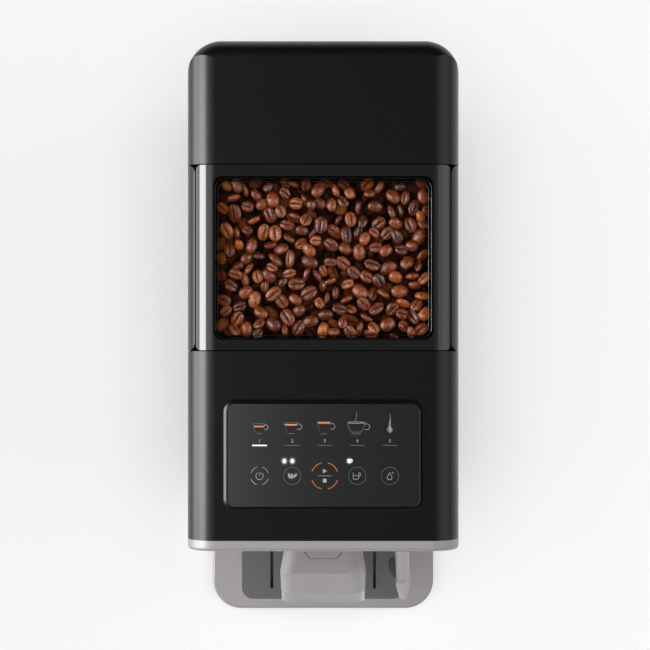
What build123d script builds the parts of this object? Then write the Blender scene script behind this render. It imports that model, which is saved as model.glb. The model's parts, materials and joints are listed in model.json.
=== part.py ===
from build123d import *
from math import hypot, radians, sqrt, tan
import os

# A slim bean to cup coffee machine, in millimetres.
# The origin is on the floor under the middle of the machine.
# +Z is up, the front faces -Y, +X is its right side.

# Casing, as seen from above and from the front
body_width = 180.0
body_height = 336.0
rear_cap_length = 82.1
hopper_length = 122.5
front_cap_length = 124.4
fascia_thickness = 6.9
tray_reach = 83.5
cap_height = 40.0
wall = 2.8
top_round = 19.0
rear_round = 12.0
corner_round = 23.0

# Feet, base, the deck that carries the works, and the drip tray
foot_height = 5.0
base_thickness = 4.5
deck_height = 105.0
deck_thickness = 3.0
tray_top = 50.0

# Gaps
seam = 0.4
seat = 0.3
running = 0.05
overrun = 2.0

# Places that follow from the casing
half_width = body_width / 2
inner_half = half_width - wall - seam
total_depth = rear_cap_length + hopper_length + front_cap_length + fascia_thickness + tray_reach
back_y = total_depth / 2
rear_seam_y = back_y - rear_cap_length
front_seam_y = rear_seam_y - hopper_length
fascia_back_y = front_seam_y - front_cap_length
fascia_front_y = fascia_back_y - fascia_thickness
tray_front_y = fascia_front_y - tray_reach
panel_top = body_height - cap_height
base_top = foot_height + base_thickness
deck_top = deck_height + deck_thickness
grinder_y = (rear_seam_y + front_seam_y) / 2

os.makedirs("parts", exist_ok=True)


def at_y(y):
    """A plane across the machine at one depth, seen from the front, with up as its second direction."""
    return Plane.XZ.offset(-y)


def at_x(x):
    """A plane along the machine at one width, with +Y as its first direction and up as its second."""
    return Plane.YZ.offset(x)


def area(plane, low, high, corner):
    """A rectangle between two opposite corners of a plane, its own corners rounded, ready to extrude."""
    with BuildSketch(plane) as shape:
        with Locations(((low[0] + high[0]) / 2, (low[1] + high[1]) / 2)):
            if corner:
                RectangleRounded(high[0] - low[0], high[1] - low[1], corner)
            else:
                Rectangle(high[0] - low[0], high[1] - low[1])
    return shape.sketch


def flat_area(x_low, x_high, y_low, y_high, z, corner=0):
    """A level rectangle, ready to extrude upwards."""
    return area(Plane.XY.offset(z), (x_low, y_low), (x_high, y_high), corner)


def front_area(x_low, x_high, z_low, z_high, y, corner=0):
    """An upright rectangle that faces forward, ready to extrude towards the front."""
    return area(at_y(y), (x_low, z_low), (x_high, z_high), corner)


def side_area(y_low, y_high, z_low, z_high, x, corner=0):
    """An upright rectangle that faces +X, ready to extrude that way."""
    return area(at_x(x), (y_low, z_low), (y_high, z_high), corner)


def body_section(inset, y):
    """The casing's outline from the front, with its two rounded shoulders, drawn inset all round."""
    height = body_height - inset
    with BuildSketch(at_y(y)) as section:
        with Locations((0, height / 2)):
            Rectangle(body_width - 2 * inset, height)
        fillet(section.vertices().group_by(Axis.Y)[-1], radius=top_round - inset)
    return section.sketch


def rear_plan(inset, y_low, z):
    """The rear of the casing from above, with its two rounded back corners, drawn inset all round."""
    length = back_y - inset - y_low
    with BuildSketch(Plane.XY.offset(z)) as plan:
        with Locations((0, y_low + length / 2)):
            Rectangle(body_width - 2 * inset, length)
        fillet(plan.vertices().group_by(Axis.Y)[-1], radius=corner_round - inset)
    return plan.sketch


def tray_plan(inset, y_high, z):
    """The drip tray from above, with its two rounded front corners, drawn inset all round."""
    length = y_high - tray_front_y - inset
    with BuildSketch(Plane.XY.offset(z)) as plan:
        with Locations((0, y_high - length / 2)):
            Rectangle(body_width - 2 * inset, length)
        fillet(plan.vertices().group_by(Axis.Y)[0], radius=corner_round - inset)
    return plan.sketch


# Base plate: the floor of the machine, reaching forward under the drip tray, with two rails for the tray
tray_inner_inset = 15.0
tray_inner_half = half_width - tray_inner_inset
rail_width = 2.5
rail_height = 6.0
vent_width = 4.0
vent_length = 44.0
vent_spacing = 11.0
vent_count = 4
rail_back_gap = 12.0
rail_x = tray_inner_half + seam + rail_width / 2
rail_back_y = front_seam_y - rail_back_gap
with BuildPart() as base_plate:
    extrude(flat_area(-inner_half, inner_half, tray_front_y + wall + seam, back_y - wall - seam, foot_height,
                      corner_round - wall - seam), amount=base_thickness)
    with BuildSketch(Plane.XY.offset(base_top)):
        with Locations((0, (fascia_back_y + rail_back_y) / 2)):
            with GridLocations(2 * rail_x, 2 * rail_x, 2, 1):
                Rectangle(rail_width, rail_back_y - fascia_back_y)
    extrude(amount=rail_height)
    with BuildSketch(Plane.XY.offset(foot_height)):
        with Locations((0, grinder_y)):
            with GridLocations(vent_spacing, vent_spacing, vent_count, 1):
                SlotOverall(vent_length, vent_width, rotation=90)
    extrude(amount=base_thickness, mode=Mode.SUBTRACT)
base_plate.part.label = "base_plate"
export_step(base_plate.part, "parts/base_plate.step")

# Feet: four rubber feet under the base plate
foot_radius = 10.0
foot_edge = 1.2
foot_inset_x = 28.0
foot_spacing_x = body_width - 2 * foot_inset_x
foot_inset_y = 31.7
foot_spacing_y = total_depth - 2 * foot_inset_y
with BuildPart() as feet:
    with BuildSketch():
        with GridLocations(foot_spacing_x, foot_spacing_y, 2, 2):
            Circle(foot_radius)
    extrude(amount=foot_height)
    chamfer(feet.faces().group_by(Axis.Z)[0].edges(), length=foot_edge)
feet.part.label = "feet"
export_step(feet.part, "parts/feet.step")

# Chassis frame: the deck that carries the works, its legs, and the bulkhead in front of the water tank
bulkhead_thickness = 3.0
bulkhead_back_y = rear_seam_y - seam
bulkhead_front_y = bulkhead_back_y - bulkhead_thickness
leg_width = 7.0
leg_length = 12.0
leg_inset = 3.0
puck_hole_width = 50.0
puck_hole_length = 26.0
hose_hole_radius = 6.0
pressure_hose_inset = 26.8
pressure_hose_x = pressure_hose_inset - inner_half
pressure_hose_gap = 9.1
pressure_hose_y = front_seam_y - pressure_hose_gap
inlet_hose_rise = 10.0
inlet_hose_z = base_top + inlet_hose_rise
pump_inset = 41.8
inlet_hose_x = pump_inset - inner_half
deck_front_y = fascia_back_y + wall + 2 * seam
brew_inset = 42.8
brew_x = inner_half - brew_inset
brew_setback = 64.3
brew_y = fascia_back_y + brew_setback
puck_hole_reach = 37.0
puck_hole_y = brew_y - puck_hole_reach
with BuildPart() as chassis_frame:
    extrude(flat_area(-inner_half, inner_half, deck_front_y, bulkhead_back_y, deck_height),
            amount=deck_thickness)
    extrude(front_area(-inner_half, inner_half, base_top, panel_top - seam, bulkhead_back_y),
            amount=bulkhead_thickness)
    with BuildSketch(Plane.XY.offset(base_top)):
        with GridLocations(2 * inner_half - leg_width, leg_length, 2, 1):
            with Locations((0, deck_front_y + leg_inset + leg_length / 2), (0, front_seam_y)):
                Rectangle(leg_width, leg_length)
    extrude(amount=deck_height - base_top)
    with BuildSketch(Plane.XY.offset(deck_height)):
        with Locations((brew_x, puck_hole_y)):
            RectangleRounded(puck_hole_width, puck_hole_length, hose_hole_radius)
        with Locations((pressure_hose_x, pressure_hose_y)):
            Circle(hose_hole_radius)
    extrude(amount=deck_thickness, mode=Mode.SUBTRACT)
    with BuildSketch(at_y(bulkhead_back_y)):
        with Locations((inlet_hose_x, inlet_hose_z)):
            Circle(hose_hole_radius)
    extrude(amount=bulkhead_thickness, mode=Mode.SUBTRACT)
chassis_frame.part.label = "chassis_frame"
export_step(chassis_frame.part, "parts/chassis_frame.step")

# Side panels: flat flanks with a raised wing beside the bean hopper, both ends of the wing rounded
wing_thickness = 5.7
wing_x = half_width - wing_thickness
wing_end_round = 6.0
side_vent_count = 5
side_vent_height = 46.0
side_vent_drop = 43.0
side_vent_z = deck_height - side_vent_drop
shoulder_x = half_width - top_round
shoulder_z = body_height - top_round
wing_top = shoulder_z + sqrt(top_round ** 2 - (wing_x - shoulder_x) ** 2)


def side_panel(side):
    """One side panel without its door opening; side is -1 for the left and 1 for the right."""
    wing_low, wing_high = sorted((side * wing_x, side * half_width))
    flank_low = min(side * half_width, side * (half_width - wall))
    with BuildPart() as panel:
        extrude(body_section(0, rear_seam_y - seam / 2), amount=hopper_length - seam)
        extrude(body_section(wall, rear_seam_y - seam / 2), amount=hopper_length - seam, mode=Mode.SUBTRACT)
        extrude(front_area(wing_low, wing_high, panel_top, body_height, rear_seam_y), amount=hopper_length,
                mode=Mode.INTERSECT)
        extrude(side_area(front_seam_y + seam / 2, rear_seam_y - seam / 2, panel_top - cap_height, wing_top,
                          -half_width, wing_end_round), amount=body_width, mode=Mode.INTERSECT)
        extrude(side_area(fascia_back_y, back_y - corner_round - seam, foot_height, panel_top, flank_low),
                amount=wall)
        with BuildSketch(at_x(flank_low)):
            with Locations((grinder_y, side_vent_z)):
                with GridLocations(vent_spacing, vent_spacing, side_vent_count, 1):
                    SlotOverall(side_vent_height, vent_width, rotation=90)
        extrude(amount=wall, mode=Mode.SUBTRACT)
    return panel.part


with BuildPart() as side_panel_left:
    add(side_panel(-1))
side_panel_left.part.label = "side_panel_left"
export_step(side_panel_left.part, "parts/side_panel_left.step")

# Service door: opens at the right on two steel pins, so that the brew unit can be reached
door_setback = 11.3
door_front_y = fascia_back_y + door_setback
door_sill = 10.0
door_low = deck_top + door_sill
door_head = 46.0
door_high = panel_top - door_head
door_corner = 5.0
hinge_setback = 19.1
hinge_y = front_seam_y - hinge_setback
knuckle_radius = 2.3
knuckle_length = 9.0
pin_radius = 0.9
pin_depth = 7.0
finger_width = 22.0
finger_reach = 12.0
finger_depth = 1.3
finger_round = 4.0
hinge_x = half_width - knuckle_radius
with BuildPart() as side_panel_right:
    add(side_panel(1))
    extrude(side_area(door_front_y - seam, hinge_y + knuckle_radius + seam, door_low - seam, door_high + seam,
                      half_width - wall, 0), amount=wall, mode=Mode.SUBTRACT)
    with BuildSketch(Plane.XY.offset(door_low - seam)):
        with Locations((hinge_x, hinge_y)):
            Circle(knuckle_radius)
    extrude(amount=-knuckle_length)
    with BuildSketch(Plane.XY.offset(door_high + seam)):
        with Locations((hinge_x, hinge_y)):
            Circle(knuckle_radius)
    extrude(amount=knuckle_length)
    with BuildSketch(Plane.XY.offset(door_low - seam - pin_depth)):
        with Locations((hinge_x, hinge_y)):
            Circle(pin_radius + running)
    extrude(amount=door_high - door_low + 2 * (seam + pin_depth), mode=Mode.SUBTRACT)
side_panel_right.part.label = "side_panel_right"
export_step(side_panel_right.part, "parts/side_panel_right.step")

with BuildPart() as service_door:
    extrude(side_area(door_front_y, hinge_y, door_low, door_high, half_width - wall), amount=wall)
    fillet(service_door.edges().filter_by(Axis.X).group_by(Axis.Y)[0], radius=door_corner)
    with BuildSketch(Plane.XY.offset(door_low)):
        with Locations((hinge_x, hinge_y)):
            Circle(knuckle_radius)
    extrude(amount=door_high - door_low)
    with BuildSketch(at_x(half_width - finger_depth)):
        with Locations((door_front_y + finger_reach, (door_low + door_high) / 2)):
            RectangleRounded(finger_reach, finger_width, finger_round)
    extrude(amount=wall, mode=Mode.SUBTRACT)
    with BuildSketch(Plane.XY.offset(door_low)):
        with Locations((hinge_x, hinge_y)):
            Circle(pin_radius + running)
    extrude(amount=door_high - door_low, mode=Mode.SUBTRACT)
service_door.part.label = "service_door"
export_step(service_door.part, "parts/service_door.step")

with BuildPart() as door_pins:
    with BuildSketch(Plane.XY.offset(door_low - seam - pin_depth)):
        with Locations((hinge_x, hinge_y)):
            Circle(pin_radius)
    extrude(amount=seam + 2 * pin_depth)
    with BuildSketch(Plane.XY.offset(door_high + seam + pin_depth)):
        with Locations((hinge_x, hinge_y)):
            Circle(pin_radius)
    extrude(amount=-(seam + 2 * pin_depth))
door_pins.part.label = "door_pins"
export_step(door_pins.part, "parts/door_pins.step")

# Back panel: wraps both rear corners, with openings for the mains inlet and the switch, and air slots
inlet_inset = 52.0
inlet_x = inlet_inset - half_width
inlet_rise = 27.0
inlet_z = foot_height + inlet_rise
inlet_width = 28.0
inlet_height = 20.5
inlet_corner = 3.0
switch_gap = 32.0
switch_x = inlet_x + switch_gap
switch_width = 13.0
switch_height = 19.0
switch_corner = 1.0
back_vent_gap = 26.0
back_vent_inset = 22.0
back_vent_left_x = switch_x + back_vent_gap
back_vent_right_x = half_width - back_vent_inset
back_vent_x = (back_vent_left_x + back_vent_right_x) / 2
back_vent_count = int((back_vent_right_x - back_vent_left_x - vent_width) // vent_spacing) + 1
back_vent_height = 26.0
screw_radius = 3.2
screw_head = 1.8
screw_sink = 0.3
screw_z = 60.0
screw_inset = 30.0
screw_x = half_width - screw_inset
back_panel_y = back_y - corner_round
with BuildPart() as back_panel:
    extrude(rear_plan(0, back_panel_y - overrun, foot_height), amount=panel_top - foot_height)
    extrude(rear_plan(wall, back_panel_y - 2 * overrun, foot_height), amount=panel_top - foot_height,
            mode=Mode.SUBTRACT)
    extrude(flat_area(-half_width, half_width, back_panel_y - 2 * overrun, back_panel_y, foot_height),
            amount=panel_top - foot_height, mode=Mode.SUBTRACT)
    with BuildSketch(at_y(back_y)):
        with Locations((inlet_x, inlet_z)):
            RectangleRounded(inlet_width, inlet_height, inlet_corner)
        with Locations((switch_x, inlet_z)):
            RectangleRounded(switch_width, switch_height, switch_corner)
        with Locations((back_vent_x, inlet_z)):
            with GridLocations(vent_spacing, vent_spacing, back_vent_count, 1):
                SlotOverall(back_vent_height, vent_width, rotation=90)
    extrude(amount=wall, mode=Mode.SUBTRACT)
    with BuildSketch(at_y(back_y)):
        with Locations((-screw_x, screw_z), (screw_x, screw_z)):
            Circle(screw_radius + running)
    extrude(amount=screw_sink + screw_head, mode=Mode.SUBTRACT)
back_panel.part.label = "back_panel"
export_step(back_panel.part, "parts/back_panel.step")

# Fascia frame: the silver arch that closes the front of the casing
arch_inset = 12.0
arch_half = half_width - arch_inset
arch_drop = 34.0
arch_top = panel_top - arch_drop
arch_round = 17.6
fascia_edge = 2.2
with BuildPart() as fascia_frame:
    extrude(body_section(0, fascia_back_y), amount=fascia_thickness)
    extrude(front_area(-half_width, half_width, 0, base_top, fascia_back_y), amount=fascia_thickness,
            mode=Mode.SUBTRACT)
    extrude(front_area(-arch_half, arch_half, -arch_round, arch_top, fascia_back_y, arch_round),
            amount=fascia_thickness, mode=Mode.SUBTRACT)
    fillet(fascia_frame.faces().sort_by(Axis.Y)[0].edges(), radius=fascia_edge)
fascia_frame.part.label = "fascia_frame"
export_step(fascia_frame.part, "parts/fascia_frame.step")

# Front panel: the black wall inside the arch, with the spout's slot and the lugs of its guide rods
panel_recess = 4.3
panel_thickness = 3.0
panel_overhang = 13.0
panel_bottom = deck_height - panel_overhang
neck_half = 12.0
slot_low_share = 0.33
slot_high_share = 0.906
neck_slot_low = panel_bottom + slot_low_share * (arch_top - panel_bottom)
neck_slot_high = panel_bottom + slot_high_share * (arch_top - panel_bottom)
rod_radius = 2.0
rod_x = 18.0
lug_width = 9.0
lug_height = 6.0
lug_round = 1.5
rod_low_share = 0.2
rod_low = panel_bottom + rod_low_share * (arch_top - panel_bottom)
rod_headroom = 2.0
rod_high = arch_top - rod_headroom
carriage_thickness = 6.0
wand_inset = 22.0
wand_x = arch_half - wand_inset
panel_half = arch_half - seam
panel_front_y = fascia_front_y + panel_recess
panel_back_y = panel_front_y + panel_thickness
rod_y = panel_back_y + seam + carriage_thickness / 2
with BuildPart() as front_panel:
    extrude(front_area(-panel_half, panel_half, panel_bottom, arch_top - seam, panel_back_y, arch_round - seam),
            amount=panel_thickness)
    extrude(front_area(-panel_half, panel_half, panel_bottom, panel_bottom + arch_round, panel_back_y),
            amount=panel_thickness)
    for side in (-1, 1):
        for lug_z in (rod_low, rod_high - lug_height):
            extrude(flat_area(side * rod_x - lug_width / 2, side * rod_x + lug_width / 2, panel_back_y,
                              rod_y + lug_width / 2, lug_z), amount=lug_height)
    fillet(front_panel.edges().filter_by(Axis.Z).group_by(Axis.Y)[-1], radius=lug_round)
    with BuildSketch(Plane.XY.offset(rod_low)):
        with Locations((-rod_x, rod_y), (rod_x, rod_y)):
            Circle(rod_radius + running)
    extrude(amount=rod_high - rod_low, mode=Mode.SUBTRACT)
    extrude(front_area(-neck_half - seam, neck_half + seam, neck_slot_low, neck_slot_high, panel_back_y,
                       lug_round), amount=panel_thickness, mode=Mode.SUBTRACT)
front_panel.part.label = "front_panel"
export_step(front_panel.part, "parts/front_panel.step")

with BuildPart() as guide_rods:
    with BuildSketch(Plane.XY.offset(rod_low)):
        with Locations((-rod_x, rod_y), (rod_x, rod_y)):
            Circle(rod_radius)
    extrude(amount=rod_high - rod_low)
guide_rods.part.label = "guide_rods"
export_step(guide_rods.part, "parts/guide_rods.step")

# Spout: rides up and down on the rods; a sloping roof with rounded shoulders, cut off square at the front
spout_half = 31.8
spout_back_half = 24.5
spout_back_y = panel_front_y - seam
spout_bend_reach = 37.2
spout_bend_y = spout_back_y - spout_bend_reach
spout_trim_reach = 55.3
spout_trim_y = spout_back_y - spout_trim_reach
spout_nose_reach = 64.1
spout_nose_y = spout_back_y - spout_nose_reach
spout_place_share = 0.788
spout_back_z = panel_bottom + spout_place_share * (arch_top - panel_bottom)
spout_bend_drop = 22.0
spout_bend_z = spout_back_z - spout_bend_drop
spout_nose_drop = 39.0
spout_nose_z = spout_bend_z - spout_nose_drop
spout_lip = 17.0
spout_bottom_z = spout_nose_z - spout_lip
spout_heel_reach = 25.7
spout_heel_y = spout_back_y - spout_heel_reach
spout_heel_rise = 24.0
spout_heel_z = spout_bottom_z + spout_heel_rise
spout_shoulder = 10.0
roof_tilt_share = 0.2
carriage_half = 23.5
carriage_height = 54.0
carriage_low = spout_back_z - carriage_height
carriage_high = spout_back_z
neck_inset = 12.0
neck_low = carriage_low + neck_inset
neck_high = carriage_high - neck_inset


def spout_blank():
    """The whole spout as one solid: side profile and plan intersected, shoulders rounded over."""
    with BuildPart() as blank:
        with BuildSketch(at_x(-spout_half)):
            with BuildLine():
                Polyline((spout_back_y, spout_back_z), (spout_bend_y, spout_bend_z),
                         (spout_nose_y, spout_nose_z), (spout_nose_y, spout_bottom_z),
                         (spout_heel_y, spout_bottom_z), (spout_back_y, spout_heel_z), close=True)
            make_face()
        extrude(amount=2 * spout_half)
        with BuildSketch(Plane.XY.offset(spout_bottom_z - overrun)):
            with BuildLine():
                Polyline((-spout_back_half, spout_back_y), (-spout_half, spout_bend_y),
                         (-spout_half, spout_nose_y), (spout_half, spout_nose_y), (spout_half, spout_bend_y),
                         (spout_back_half, spout_back_y), close=True)
            make_face()
        extrude(amount=spout_back_z - spout_bottom_z + 2 * overrun, mode=Mode.INTERSECT)
        roof = blank.faces().filter_by(lambda face: face.normal_at().Z > roof_tilt_share)
        shoulders = roof.edges().filter_by(lambda edge: abs(edge.center().X) > spout_back_half / 2)
        fillet(shoulders, radius=spout_shoulder)
    return blank.part


insert_half_back = 24.0
insert_half_front = 9.6
insert_front_reach = 25.0
insert_front_y = spout_back_y - insert_front_reach
insert_back_reach = 5.7
insert_back_y = spout_back_y - insert_back_reach
insert_depth = 1.6
insert_groove = 0.5
outlet_x = 10.5
outlet_reach = 47.7
outlet_y = spout_back_y - outlet_reach
outlet_radius = 5.0
outlet_bore = 3.0
outlet_edge = 1.0
outlet_length = 7.0
outlet_socket = 9.0
slope_z = (spout_back_z - spout_bend_z) / (spout_back_y - spout_bend_y)
roof_plane = Plane(origin=(0, spout_back_y, spout_back_z), x_dir=(1, 0, 0), z_dir=(0, -slope_z, 1))
roof_share = hypot(1, slope_z)


def insert_outline(margin):
    """The tapered tongue on the spout's roof, seen square to that slope."""
    front = (insert_front_y - spout_back_y) * roof_share
    back = (insert_back_y - spout_back_y) * roof_share
    with BuildSketch(roof_plane) as outline:
        with BuildLine():
            Polyline((-insert_half_back - margin, back + margin), (-insert_half_front - margin, front - margin),
                     (insert_half_front + margin, front - margin), (insert_half_back + margin, back + margin),
                     close=True)
        make_face()
    return outline.sketch


with BuildPart() as spout_housing:
    add(spout_blank())
    extrude(flat_area(-spout_half, spout_half, spout_nose_y, spout_trim_y, spout_bottom_z - overrun),
            amount=spout_back_z - spout_bottom_z + overrun, mode=Mode.SUBTRACT)
    extrude(insert_outline(insert_groove), amount=-insert_depth, mode=Mode.SUBTRACT)
    with BuildSketch(Plane.XY.offset(spout_bottom_z - overrun)):
        with Locations((-outlet_x, outlet_y), (outlet_x, outlet_y)):
            Circle(outlet_radius + running)
    extrude(amount=outlet_socket + overrun, mode=Mode.SUBTRACT)
spout_housing.part.label = "spout_housing"
export_step(spout_housing.part, "parts/spout_housing.step")

with BuildPart() as spout_trim:
    add(spout_blank())
    extrude(flat_area(-spout_half, spout_half, spout_nose_y, spout_trim_y, spout_bottom_z - overrun),
            amount=spout_back_z - spout_bottom_z + overrun, mode=Mode.INTERSECT)
spout_trim.part.label = "spout_trim"
export_step(spout_trim.part, "parts/spout_trim.step")

with BuildPart() as spout_insert:
    extrude(insert_outline(0), amount=-insert_depth)
spout_insert.part.label = "spout_insert"
export_step(spout_insert.part, "parts/spout_insert.step")

with BuildPart() as spout_outlets:
    with BuildSketch(Plane.XY.offset(spout_bottom_z - outlet_length)):
        with Locations((-outlet_x, outlet_y), (outlet_x, outlet_y)):
            Circle(outlet_radius)
    extrude(amount=outlet_length + outlet_socket)
    chamfer(spout_outlets.faces().group_by(Axis.Z)[0].edges(), length=outlet_edge)
    with BuildSketch(Plane.XY.offset(spout_bottom_z - outlet_length)):
        with Locations((-outlet_x, outlet_y), (outlet_x, outlet_y)):
            Circle(outlet_bore)
    extrude(amount=outlet_length + outlet_socket, mode=Mode.SUBTRACT)
spout_outlets.part.label = "spout_outlets"
export_step(spout_outlets.part, "parts/spout_outlets.step")

with BuildPart() as spout_carriage:
    extrude(front_area(-carriage_half, carriage_half, carriage_low, carriage_high, panel_back_y + seam
                       + carriage_thickness, lug_round), amount=carriage_thickness)
    for side in (-1, 1):
        extrude(flat_area(side * rod_x - lug_width / 2, side * rod_x + lug_width / 2, rod_y,
                          rod_y + lug_width / 2, carriage_low), amount=carriage_high - carriage_low)
    extrude(front_area(-neck_half, neck_half, neck_low, neck_high, panel_back_y + seam, lug_round),
            amount=panel_back_y + seam - spout_back_y)
    with BuildSketch(Plane.XY.offset(carriage_low)):
        with Locations((-rod_x, rod_y), (rod_x, rod_y)):
            Circle(rod_radius + running)
    extrude(amount=carriage_high - carriage_low, mode=Mode.SUBTRACT)
spout_carriage.part.label = "spout_carriage"
export_step(spout_carriage.part, "parts/spout_carriage.step")

# Steam wand: swivels on an upright spigot held in a socket on the front panel
wand_reach = 4.8
wand_y = fascia_front_y - wand_reach
wand_socket_drop = 10.0
wand_socket_height = 18.0
wand_socket_high = arch_top - wand_socket_drop
wand_socket_low = wand_socket_high - wand_socket_height
wand_socket_round = 5.0
wand_socket_half = 10.5
spigot_radius = 5.3
spigot_sink = 4.0
spigot_length = 22.0
spigot_high = wand_socket_high - spigot_sink
spigot_low = spigot_high - spigot_length
wand_radius = 5.3
wand_bend = 16.0
wand_tilt_x = 5.4
wand_tilt_y = 48.5
wand_drop_share = 0.53
wand_drop = wand_drop_share * (spigot_low - tray_top)
wand_end = (wand_x + wand_tilt_x, wand_y - wand_tilt_y, spigot_low - wand_drop)
tip_length = 30.0
tip_base_radius = 4.6
tip_radius = 3.0
tip_sides = 6
wand_path_top = (wand_x, wand_y, spigot_high)
wand_path_bend = (wand_x, wand_y, spigot_low)
with BuildPart() as wand_socket:
    extrude(front_area(wand_x - wand_socket_half, wand_x + wand_socket_half, wand_socket_low, wand_socket_high,
                       panel_front_y, 0), amount=panel_front_y - wand_y + wand_socket_half - wand_socket_round)
    extrude(flat_area(wand_x - wand_socket_half, wand_x + wand_socket_half, wand_y - wand_socket_half,
                      panel_front_y, wand_socket_low), amount=wand_socket_high - wand_socket_low)
    fillet(wand_socket.edges().filter_by(Axis.Z).group_by(Axis.Y)[0], radius=wand_socket_round)
    with BuildSketch(Plane.XY.offset(wand_socket_low)):
        with Locations((wand_x, wand_y)):
            Circle(spigot_radius + running)
    extrude(amount=spigot_high + seat - wand_socket_low, mode=Mode.SUBTRACT)
wand_socket.part.label = "wand_socket"
export_step(wand_socket.part, "parts/wand_socket.step")

with BuildPart() as steam_wand:
    with BuildLine():
        FilletPolyline(wand_path_top, wand_path_bend, wand_end, radius=wand_bend)
    with BuildSketch(Plane(origin=wand_path_top, z_dir=(0, 0, -1))):
        Circle(wand_radius)
    sweep()
steam_wand.part.label = "steam_wand"
export_step(steam_wand.part, "parts/steam_wand.step")

wand_line = Vector(*wand_end) - Vector(*wand_path_bend)
tip_end = Vector(*wand_end) + wand_line.normalized() * tip_length
with BuildPart() as steam_nozzle:
    with BuildSketch(Plane(origin=wand_end, z_dir=wand_line)):
        RegularPolygon(tip_base_radius, tip_sides)
    with BuildSketch(Plane(origin=tip_end, z_dir=wand_line)):
        RegularPolygon(tip_radius, tip_sides)
    loft()
steam_nozzle.part.label = "steam_nozzle"
export_step(steam_nozzle.part, "parts/steam_nozzle.step")

grip_start_share = 0.16
grip_knee_share = 0.24
grip_knee_reach_share = 0.86
grip_crest_share = 0.32
grip_end_share = 0.62
grip_reach = 10.4
grip_half_thickness = 1.8
grip_plane = Plane(origin=wand_path_bend, x_dir=(-1, 0, 0), z_dir=Vector(-1, 0, 0).cross(wand_line))
grip_length = wand_line.length
with BuildPart() as wand_grip:
    with BuildSketch(grip_plane):
        with BuildLine():
            leaf = Spline((0, grip_length * grip_start_share),
                          (grip_reach * grip_knee_reach_share, grip_length * grip_knee_share),
                          (grip_reach, grip_length * grip_crest_share),
                          (0, grip_length * grip_end_share))
            Line(leaf @ 1, leaf @ 0)
        make_face()
    extrude(amount=grip_half_thickness, both=True)
    with BuildSketch(Plane(origin=wand_path_bend, z_dir=wand_line)):
        Circle(wand_radius + running)
    extrude(amount=grip_length, mode=Mode.SUBTRACT)
wand_grip.part.label = "wand_grip"
export_step(wand_grip.part, "parts/wand_grip.step")

# Drip tray: a hollow rim in front, a water pan that runs back between the rails, and a slotted grate
skirt_z = 3.0
tray_floor_z = base_top + seam
pan_wall = 2.2
pan_inset = 26.0
pan_half = half_width - pan_inset
pan_front_inset = 10.4
pan_top = 46.0
tray_back_gap = 17.1
tray_back_y = front_seam_y - tray_back_gap
grate_side_inset = 24.0
grate_half = half_width - grate_side_inset
grate_thickness = 2.2
grate_inset = 8.2
grate_round = 9.0
grate_back_gap = 3.8
grate_back_y = fascia_front_y - grate_back_gap
rim_depth = 3.0
tray_edge = 1.6
tray_mid_y = fascia_front_y - seam
pan_front_y = tray_front_y + pan_front_inset
grate_front_y = tray_front_y + grate_inset
with BuildPart() as drip_tray:
    extrude(tray_plan(0, tray_mid_y, skirt_z), amount=tray_top - skirt_z)
    rim_edges = drip_tray.faces().sort_by(Axis.Z)[-1].edges()
    fillet(rim_edges.filter_by(lambda edge: edge.center().Y < tray_mid_y - overrun), radius=tray_edge)
    extrude(tray_plan(wall, tray_mid_y, skirt_z), amount=tray_floor_z - skirt_z, mode=Mode.SUBTRACT)
    extrude(tray_plan(wall, tray_mid_y, tray_floor_z),
            amount=tray_top - grate_thickness - rim_depth - tray_floor_z, mode=Mode.SUBTRACT)
    extrude(flat_area(-pan_half - pan_wall, pan_half + pan_wall, pan_front_y - pan_wall, tray_mid_y,
                      tray_floor_z), amount=tray_top - grate_thickness - tray_floor_z)
    extrude(flat_area(-tray_inner_half, tray_inner_half, tray_mid_y - pan_wall, tray_back_y, tray_floor_z),
            amount=pan_top - tray_floor_z)
    extrude(flat_area(-grate_half - seat, grate_half + seat, grate_front_y - seat, tray_mid_y + overrun,
                      tray_top - grate_thickness, grate_round), amount=grate_thickness, mode=Mode.SUBTRACT)
    extrude(flat_area(-grate_half - seat, grate_half + seat, grate_front_y + grate_round, tray_mid_y + overrun,
                      tray_top - grate_thickness), amount=grate_thickness, mode=Mode.SUBTRACT)
    extrude(flat_area(-pan_half, pan_half, pan_front_y, tray_mid_y, tray_floor_z + pan_wall, grate_round),
            amount=tray_top, mode=Mode.SUBTRACT)
    extrude(flat_area(-pan_half, pan_half, pan_front_y + grate_round, tray_mid_y + overrun,
                      tray_floor_z + pan_wall), amount=tray_top, mode=Mode.SUBTRACT)
    extrude(flat_area(pan_wall - tray_inner_half, tray_inner_half - pan_wall, tray_mid_y,
                      tray_back_y - pan_wall, tray_floor_z + pan_wall), amount=tray_top, mode=Mode.SUBTRACT)
drip_tray.part.label = "drip_tray"
export_step(drip_tray.part, "parts/drip_tray.step")

slot_width = 2.4
slot_spacing = 21.0
slot_count = 5
slot_front_inset = 16.0
slot_front_y = tray_front_y + slot_front_inset
slot_back_inset = 4.0
slot_back_y = grate_back_y - slot_back_inset
with BuildPart() as drip_grate:
    extrude(flat_area(-grate_half, grate_half, grate_front_y, grate_back_y, tray_top - grate_thickness,
                      grate_round), amount=grate_thickness)
    extrude(flat_area(-grate_half, grate_half, grate_back_y - 2 * grate_round, grate_back_y,
                      tray_top - grate_thickness), amount=grate_thickness)
    with BuildSketch(Plane.XY.offset(tray_top - grate_thickness)):
        with Locations((0, (slot_front_y + slot_back_y) / 2)):
            with GridLocations(slot_spacing, slot_spacing, slot_count, 1):
                SlotOverall(slot_back_y - slot_front_y, slot_width, rotation=90)
    extrude(amount=grate_thickness, mode=Mode.SUBTRACT)
drip_grate.part.label = "drip_grate"
export_step(drip_grate.part, "parts/drip_grate.step")

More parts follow.
